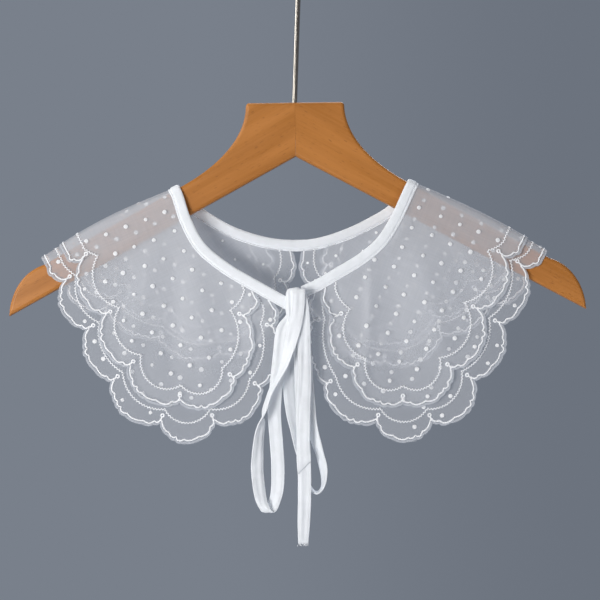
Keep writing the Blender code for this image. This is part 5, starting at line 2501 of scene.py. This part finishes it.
TIES = (
    Tie(
        "bow_loop_left",
        (
            Limb(1.2, 142.4, -27.0, 0, 0, 0.9),
            Limb(1.2, 143.8, -31.0, 0, 0, 0.92),
            Limb(1.0, 148.0, -33.4, 0, 0, 0.95),
            Limb(0.5, 155.0, -34.1, 0, 0, 0.98),
            Limb(-0.7, 163.0, -34.3, 0, 0, 1.02),
            Limb(-2.6, 170.5, -34.1, 2, -5, 1.08),
            Limb(-4.9, 180.5, -33.5, 8, -15, 1.05),
            Limb(-11.2, 201.3, -33.2, 22, -45),
            Limb(-20.7, 218.5, -33.2, 28, -57),
            Limb(-26.2, 234.0, -33.2, 18, -76),
            Limb(-28.2, 242.5, -33.2, 15, -116),
            Limb(-30.2, 253.4, -33.0, 12, -140),
            Limb(-31.8, 274.2, -32.4, 2, -153),
            Limb(-30.1, 294.8, -31.4, -10, -160),
            Limb(-27.2, 305.0, -30.2, -15, -175),
            Limb(-23.6, 308.8, -27.6, 2, -180),
            Limb(-20.4, 305.0, -25.6, 12, -180),
            Limb(-17.0, 292.4, -25.4, 10, -180),
            Limb(-16.4, 274.0, -25.6, 0, -175),
            Limb(-17.4, 255.0, -25.8, -3, -175),
            Limb(-18.5, 234.0, -26.0, -2, -175),
            Limb(-16.6, 212.0, -26.4, 5, -180),
            Limb(-14.0, 191.0, -26.6, 0, -185),
            Limb(-12.5, 178.0, -26.6, -8, -188),
            Limb(-10.6, 170.5, -26.4, -14, -186, 0.95),
            Limb(-6.4, 163.5, -26.2, -10, -182, 0.7),
            Limb(-3.0, 157.0, -26.0, 0, -180, 0.5),
        ),
        (
            TapeCrease((0.0, 0.1), (0.2, -0.2), 1.5, -0.3),
            TapeCrease((0.02, -0.4), (0.14, 0.3), 1.3, 0.25),
            TapeCrease((0.88, 0.1), (1.0, 0.0), 1.2, -0.5),
            TapeCrease((-0.1, 0.0), (0.24, 0.0), 2.6, 0.34),
            TapeCrease((-0.1, 0.74), (0.2, 0.74), 0.9, 0.2),
            TapeCrease((0.3, -0.35), (0.52, -0.35), 1.8, -0.5),
            TapeCrease((0.52, 0.4), (0.78, 0.4), 1.8, -0.5),
            TapeCrease((0.78, -0.3), (0.97, -0.2), 1.8, -0.5),
        ),
        5,
    ),
    Tie(
        "bow_loop_right",
        (
            Limb(-3.0, 158.0, -22.6, 0, 0, 0.7),
            Limb(-5.6, 188.0, -22.6, 5, 10),
            Limb(-7.0, 210.0, -22.6, 3, 15),
            Limb(-6.0, 230.0, -22.4, -6, 20),
            Limb(-1.6, 254.0, -22.0, -14, 30),
            Limb(3.4, 276.0, -21.2, -14, 50),
            Limb(7.6, 291.5, -20.6, -25, 78),
            Limb(12.4, 296.0, -20.4, 0, 90),
            Limb(16.8, 292.0, -20.6, 20, 102),
            Limb(18.2, 283.0, -21.4, 5, 118),
            Limb(16.6, 271.5, -22.4, -12, 132),
            Limb(12.6, 258.0, -23.6, -18, 148),
            Limb(8.8, 242.0, -24.6, -12, 162),
            Limb(6.8, 222.0, -25.2, -4, 172),
            Limb(5.2, 195.0, -25.4, 0, 180),
            Limb(4.0, 174.0, -25.6, 0, 180, 0.95),
            Limb(3.2, 158.0, -25.2, 0, 180, 0.7),
        ),
        (TapeCrease((0.0, -0.2), (0.2, 0.1), 1.2, -0.4), TapeCrease((0.8, 0.2), (1.0, 0.0), 1.2, -0.5)),
        8,
    ),
    Tie(
        "bow_tail_front",
        (
            Limb(2.4, 145.0, -27.5, 0, 0, 0.7),
            Limb(3.2, 150.5, -31.2, 0, 0, 0.9),
            Limb(3.8, 159.0, -32.2, 0, 2, 1.0),
            Limb(4.2, 168.0, -32.0, 0, 4, 1.03),
            Limb(4.5, 185.0, -31.4, 0, 6, 1.0),
            Limb(4.7, 207.0, -31.6, 0, 8),
            Limb(3.8, 228.0, -32.0, 0, 5),
            Limb(3.0, 250.0, -32.2, 0, 0),
            Limb(2.9, 262.0, -31.0, 14, 0, 1.05),
            Limb(3.4, 276.4, -30.1, 44, 0, 1.38),
        ),
        (
            TapeCrease((0.02, 0.5), (0.75, -0.75), 1.0, -0.45),
            TapeCrease((0.0, -0.2), (0.3, 0.2), 1.2, 0.4),
            TapeCrease((0.1, 0.75), (0.7, 0.1), 1.6, 0.25),
        ),
        13,
    ),
    Tie(
        "bow_tail_back",
        (
            Limb(0.2, 158.0, -26.6, 0, 0, 0.7),
            Limb(0.6, 170.0, -27.8, 0, 0, 0.9),
            Limb(1.5, 190.0, -28.0, 0, 0),
            Limb(2.2, 215.0, -28.4, 0, 0),
            Limb(2.8, 245.0, -28.6, 0, 0),
            Limb(3.5, 275.0, -28.8, 0, 0),
            Limb(3.3, 300.0, -29.0, 0, 4),
            Limb(2.6, 317.0, -29.0, -1, 8, 0.95),
            Limb(1.9, 332.8, -28.8, -2, 10, 0.78),
        ),
        (TapeCrease((0.45, 0.6), (0.98, 0.2), 1.3, -0.3), TapeCrease((0.6, -0.5), (0.99, -0.35), 1.1, 0.25)),
        21,
    ),
)


@dataclass(frozen=True)
class Ring:
    """A level section of the knot.

    Attributes:
        down: Distance below the crown.
        x: Its middle's distance to the right.
        y: Its middle's distance behind the hanger.
        half_width: Half its width.
        half_depth: Half its depth.
    """

    down: float
    x: float
    y: float
    half_width: float
    half_depth: float


@dataclass(frozen=True)
class Knot:
    """The knot of the bow: one wrap of the tape round the others, drawn tight.

    Attributes:
        rings: Its level sections from the top down.
        slant: How far its top sinks for each millimetre to the left.
        sides: Points of a section.
        power: Squareness of a section.
        steps: Steps from each section to the next.
    """

    rings: tuple[Ring, ...] = (
        Ring(141.4, -3.4, -24.0, 2.8, 3.4),
        Ring(142.4, -3.0, -24.0, 4.8, 6.0),
        Ring(146.0, -2.4, -24.0, 6.4, 7.8),
        Ring(152.0, -1.9, -24.1, 7.2, 8.5),
        Ring(158.0, -1.6, -24.3, 7.5, 8.7),
        Ring(163.0, -1.4, -24.4, 7.0, 8.2),
        Ring(167.0, -1.2, -24.4, 5.8, 7.0),
        Ring(169.0, -1.2, -24.4, 4.2, 5.2),
    )
    slant: float = 0.16
    sides: int = 96
    power: float = 0.62
    steps: int = 8

    def build(self, finish: Material) -> Object:
        """Makes the knot with the folds of its wrap.

        Args:
            finish: Material of the tape.

        Returns:
            The finished piece.
        """
        table = [(ring.down, ring.x, ring.y, ring.half_width, ring.half_depth) for ring in self.rings]
        rows = spline(table, self.steps)
        angle = 2 * math.pi * np.arange(self.sides) / self.sides
        round_x = np.sign(np.cos(angle)) * np.abs(np.cos(angle)) ** self.power
        round_y = np.sign(np.sin(angle)) * np.abs(np.sin(angle)) ** self.power
        height = (rows[:, 0] - rows[0, 0])[:, None] / (rows[-1, 0] - rows[0, 0])
        x = rows[:, 1][:, None] + round_x * rows[:, 3][:, None]
        folds = self.folds(x, height, np.sign(np.sin(angle))[None])
        x += round_x * folds * 0.5
        y = rows[:, 2][:, None] + round_y * (rows[:, 4][:, None] + folds)
        down = rows[:, 0][:, None] - self.slant * (x - rows[:, 1][:, None]) * (1 - height) ** 2
        points = place(Side.RIGHT, x, down, y)
        knot = new_piece("knot", points, tube_faces(len(rows), self.sides), finish)
        face_outwards(knot)
        flat = np.stack(np.broadcast_arrays(angle[None] * 7.0, rows[:, 0][:, None]), axis=-1)
        point_map(knot, flat)
        finish_piece(knot, ["bow_knot"])
        return knot

    def folds(self, x: Array, height: Array, face: Array) -> Array:
        """How far the wrap's folds stand out.

        Args:
            x: How far right each point is.
            height: Its share of the knot's height, from the top.
            face: The sign of its side, negative before the knot.

        Returns:
            A distance for each point.
        """
        total = np.zeros(x.shape)
        for place_x, drift, width, size, side in (
            (-7.2, 0.6, 1.2, 0.6, -1),
            (-5.4, 0.4, 1.0, -0.7, -1),
            (-3.6, -0.6, 1.2, 0.35, -1),
            (-4.6, 1.8, 1.0, -0.4, 1),
            (-1.6, -1.2, 1.2, 0.35, 1),
            (1.4, 0.8, 1.0, -0.4, 1),
        ):
            off = x - place_x - drift * height
            total += size * np.exp(-((off / width) ** 2)) * (face == side)
        return total * np.clip(height * 8, 0.2, 1) * np.clip((1 - height) * 8, 0.2, 1)


@dataclass(frozen=True)
class FrayedEnd:
    """Loose threads at the cut end of the rear tail.

    Attributes:
        middle: The middle of the tail's end: to the right, down and back.
        half_width: Half the width of that end.
        count: Number of threads.
        length: Length of the longest thread.
        thickness: Thickness of a thread.
        seed: Chooses their lengths and bends.
    """

    middle: tuple[float, float, float] = (1.9, 332.5, -28.8)
    half_width: float = 3.6
    count: int = 18
    length: float = 3.2
    thickness: float = 0.3
    seed: int = 9

    def build(self, tree: NodeTree, finish: Material) -> Object:
        """Makes the threads.

        Args:
            tree: The tree that lays cords.
            finish: Material of the threads.

        Returns:
            The finished piece.
        """
        chance = np.random.default_rng(self.seed)
        share = np.linspace(0.0, 1.0, 5)
        lines = []
        for start in np.linspace(-self.half_width, self.half_width, self.count):
            length = chance.uniform(0.3, 1.0) * self.length
            bend, back = chance.uniform(-0.8, 0.8, 2)
            right = self.middle[0] + start + bend * length * share**2
            down = self.middle[1] + length * share * (1 - 0.4 * abs(bend) * share)
            lines.append(place(Side.RIGHT, right, down, self.middle[2] + back * length * share**2))
        facing = np.tile((0.0, -1.0, 0.0), (5 * self.count, 1))
        ends = Guide(np.vstack(lines), facing, pieces=[5] * self.count)
        size = self.thickness * MM
        return finish_piece(ends.grow("frayed_threads", tree, finish, Width=size, Height=size))


def main() -> None:
    """Builds the studio, the hanger, the collar and the bow."""
    logging.basicConfig(level=logging.INFO, format="%(message)s")
    Studio().build()
    hook = HangerHook()
    hook.build()
    arms = [HangerArm(side) for side in Side]
    wood = [arm.build(hook.in_frame(-arm.bore_depth), hook.in_frame(arm.bore_depth)) for arm in arms]
    organza = SheerOrganza().build()
    thread = EmbroideryThread().build()
    finishes = {
        "thread": thread,
        "band": EmbroideryThread(name="flat_satin_band", colour="#CCD1D9", cover=0.42).build(),
        "dots": EmbroideryThread(name="flat_satin_dots", colour="#F4F6F9", cover=0.9).build(),
    }
    tape = BiasTape().build()
    trees = {"cord": cord_tree(), "dot": dot_tree(), "ring": ring_tree(), "cross": cross_stitch_tree()}
    for layer in LAYERS:
        sheet = layer.build()
        sheet.data.materials.append(organza)
        sewn = Embroidery(layer, sheet, Thread()).build(trees, finishes)
        finish_piece(sheet, [f"{layer.name}_layer"])
        [arm.name for arm in wood]
    binding, stitches = NeckBinding().build(tape, thread, trees["cord"])
    [arm.name for arm in wood]
    Knot().build(tape)
    for tie in TIES:
        tie.build(tape)
    FrayedEnd().build(trees["cord"], thread)


if __name__ == "__main__":
    main()
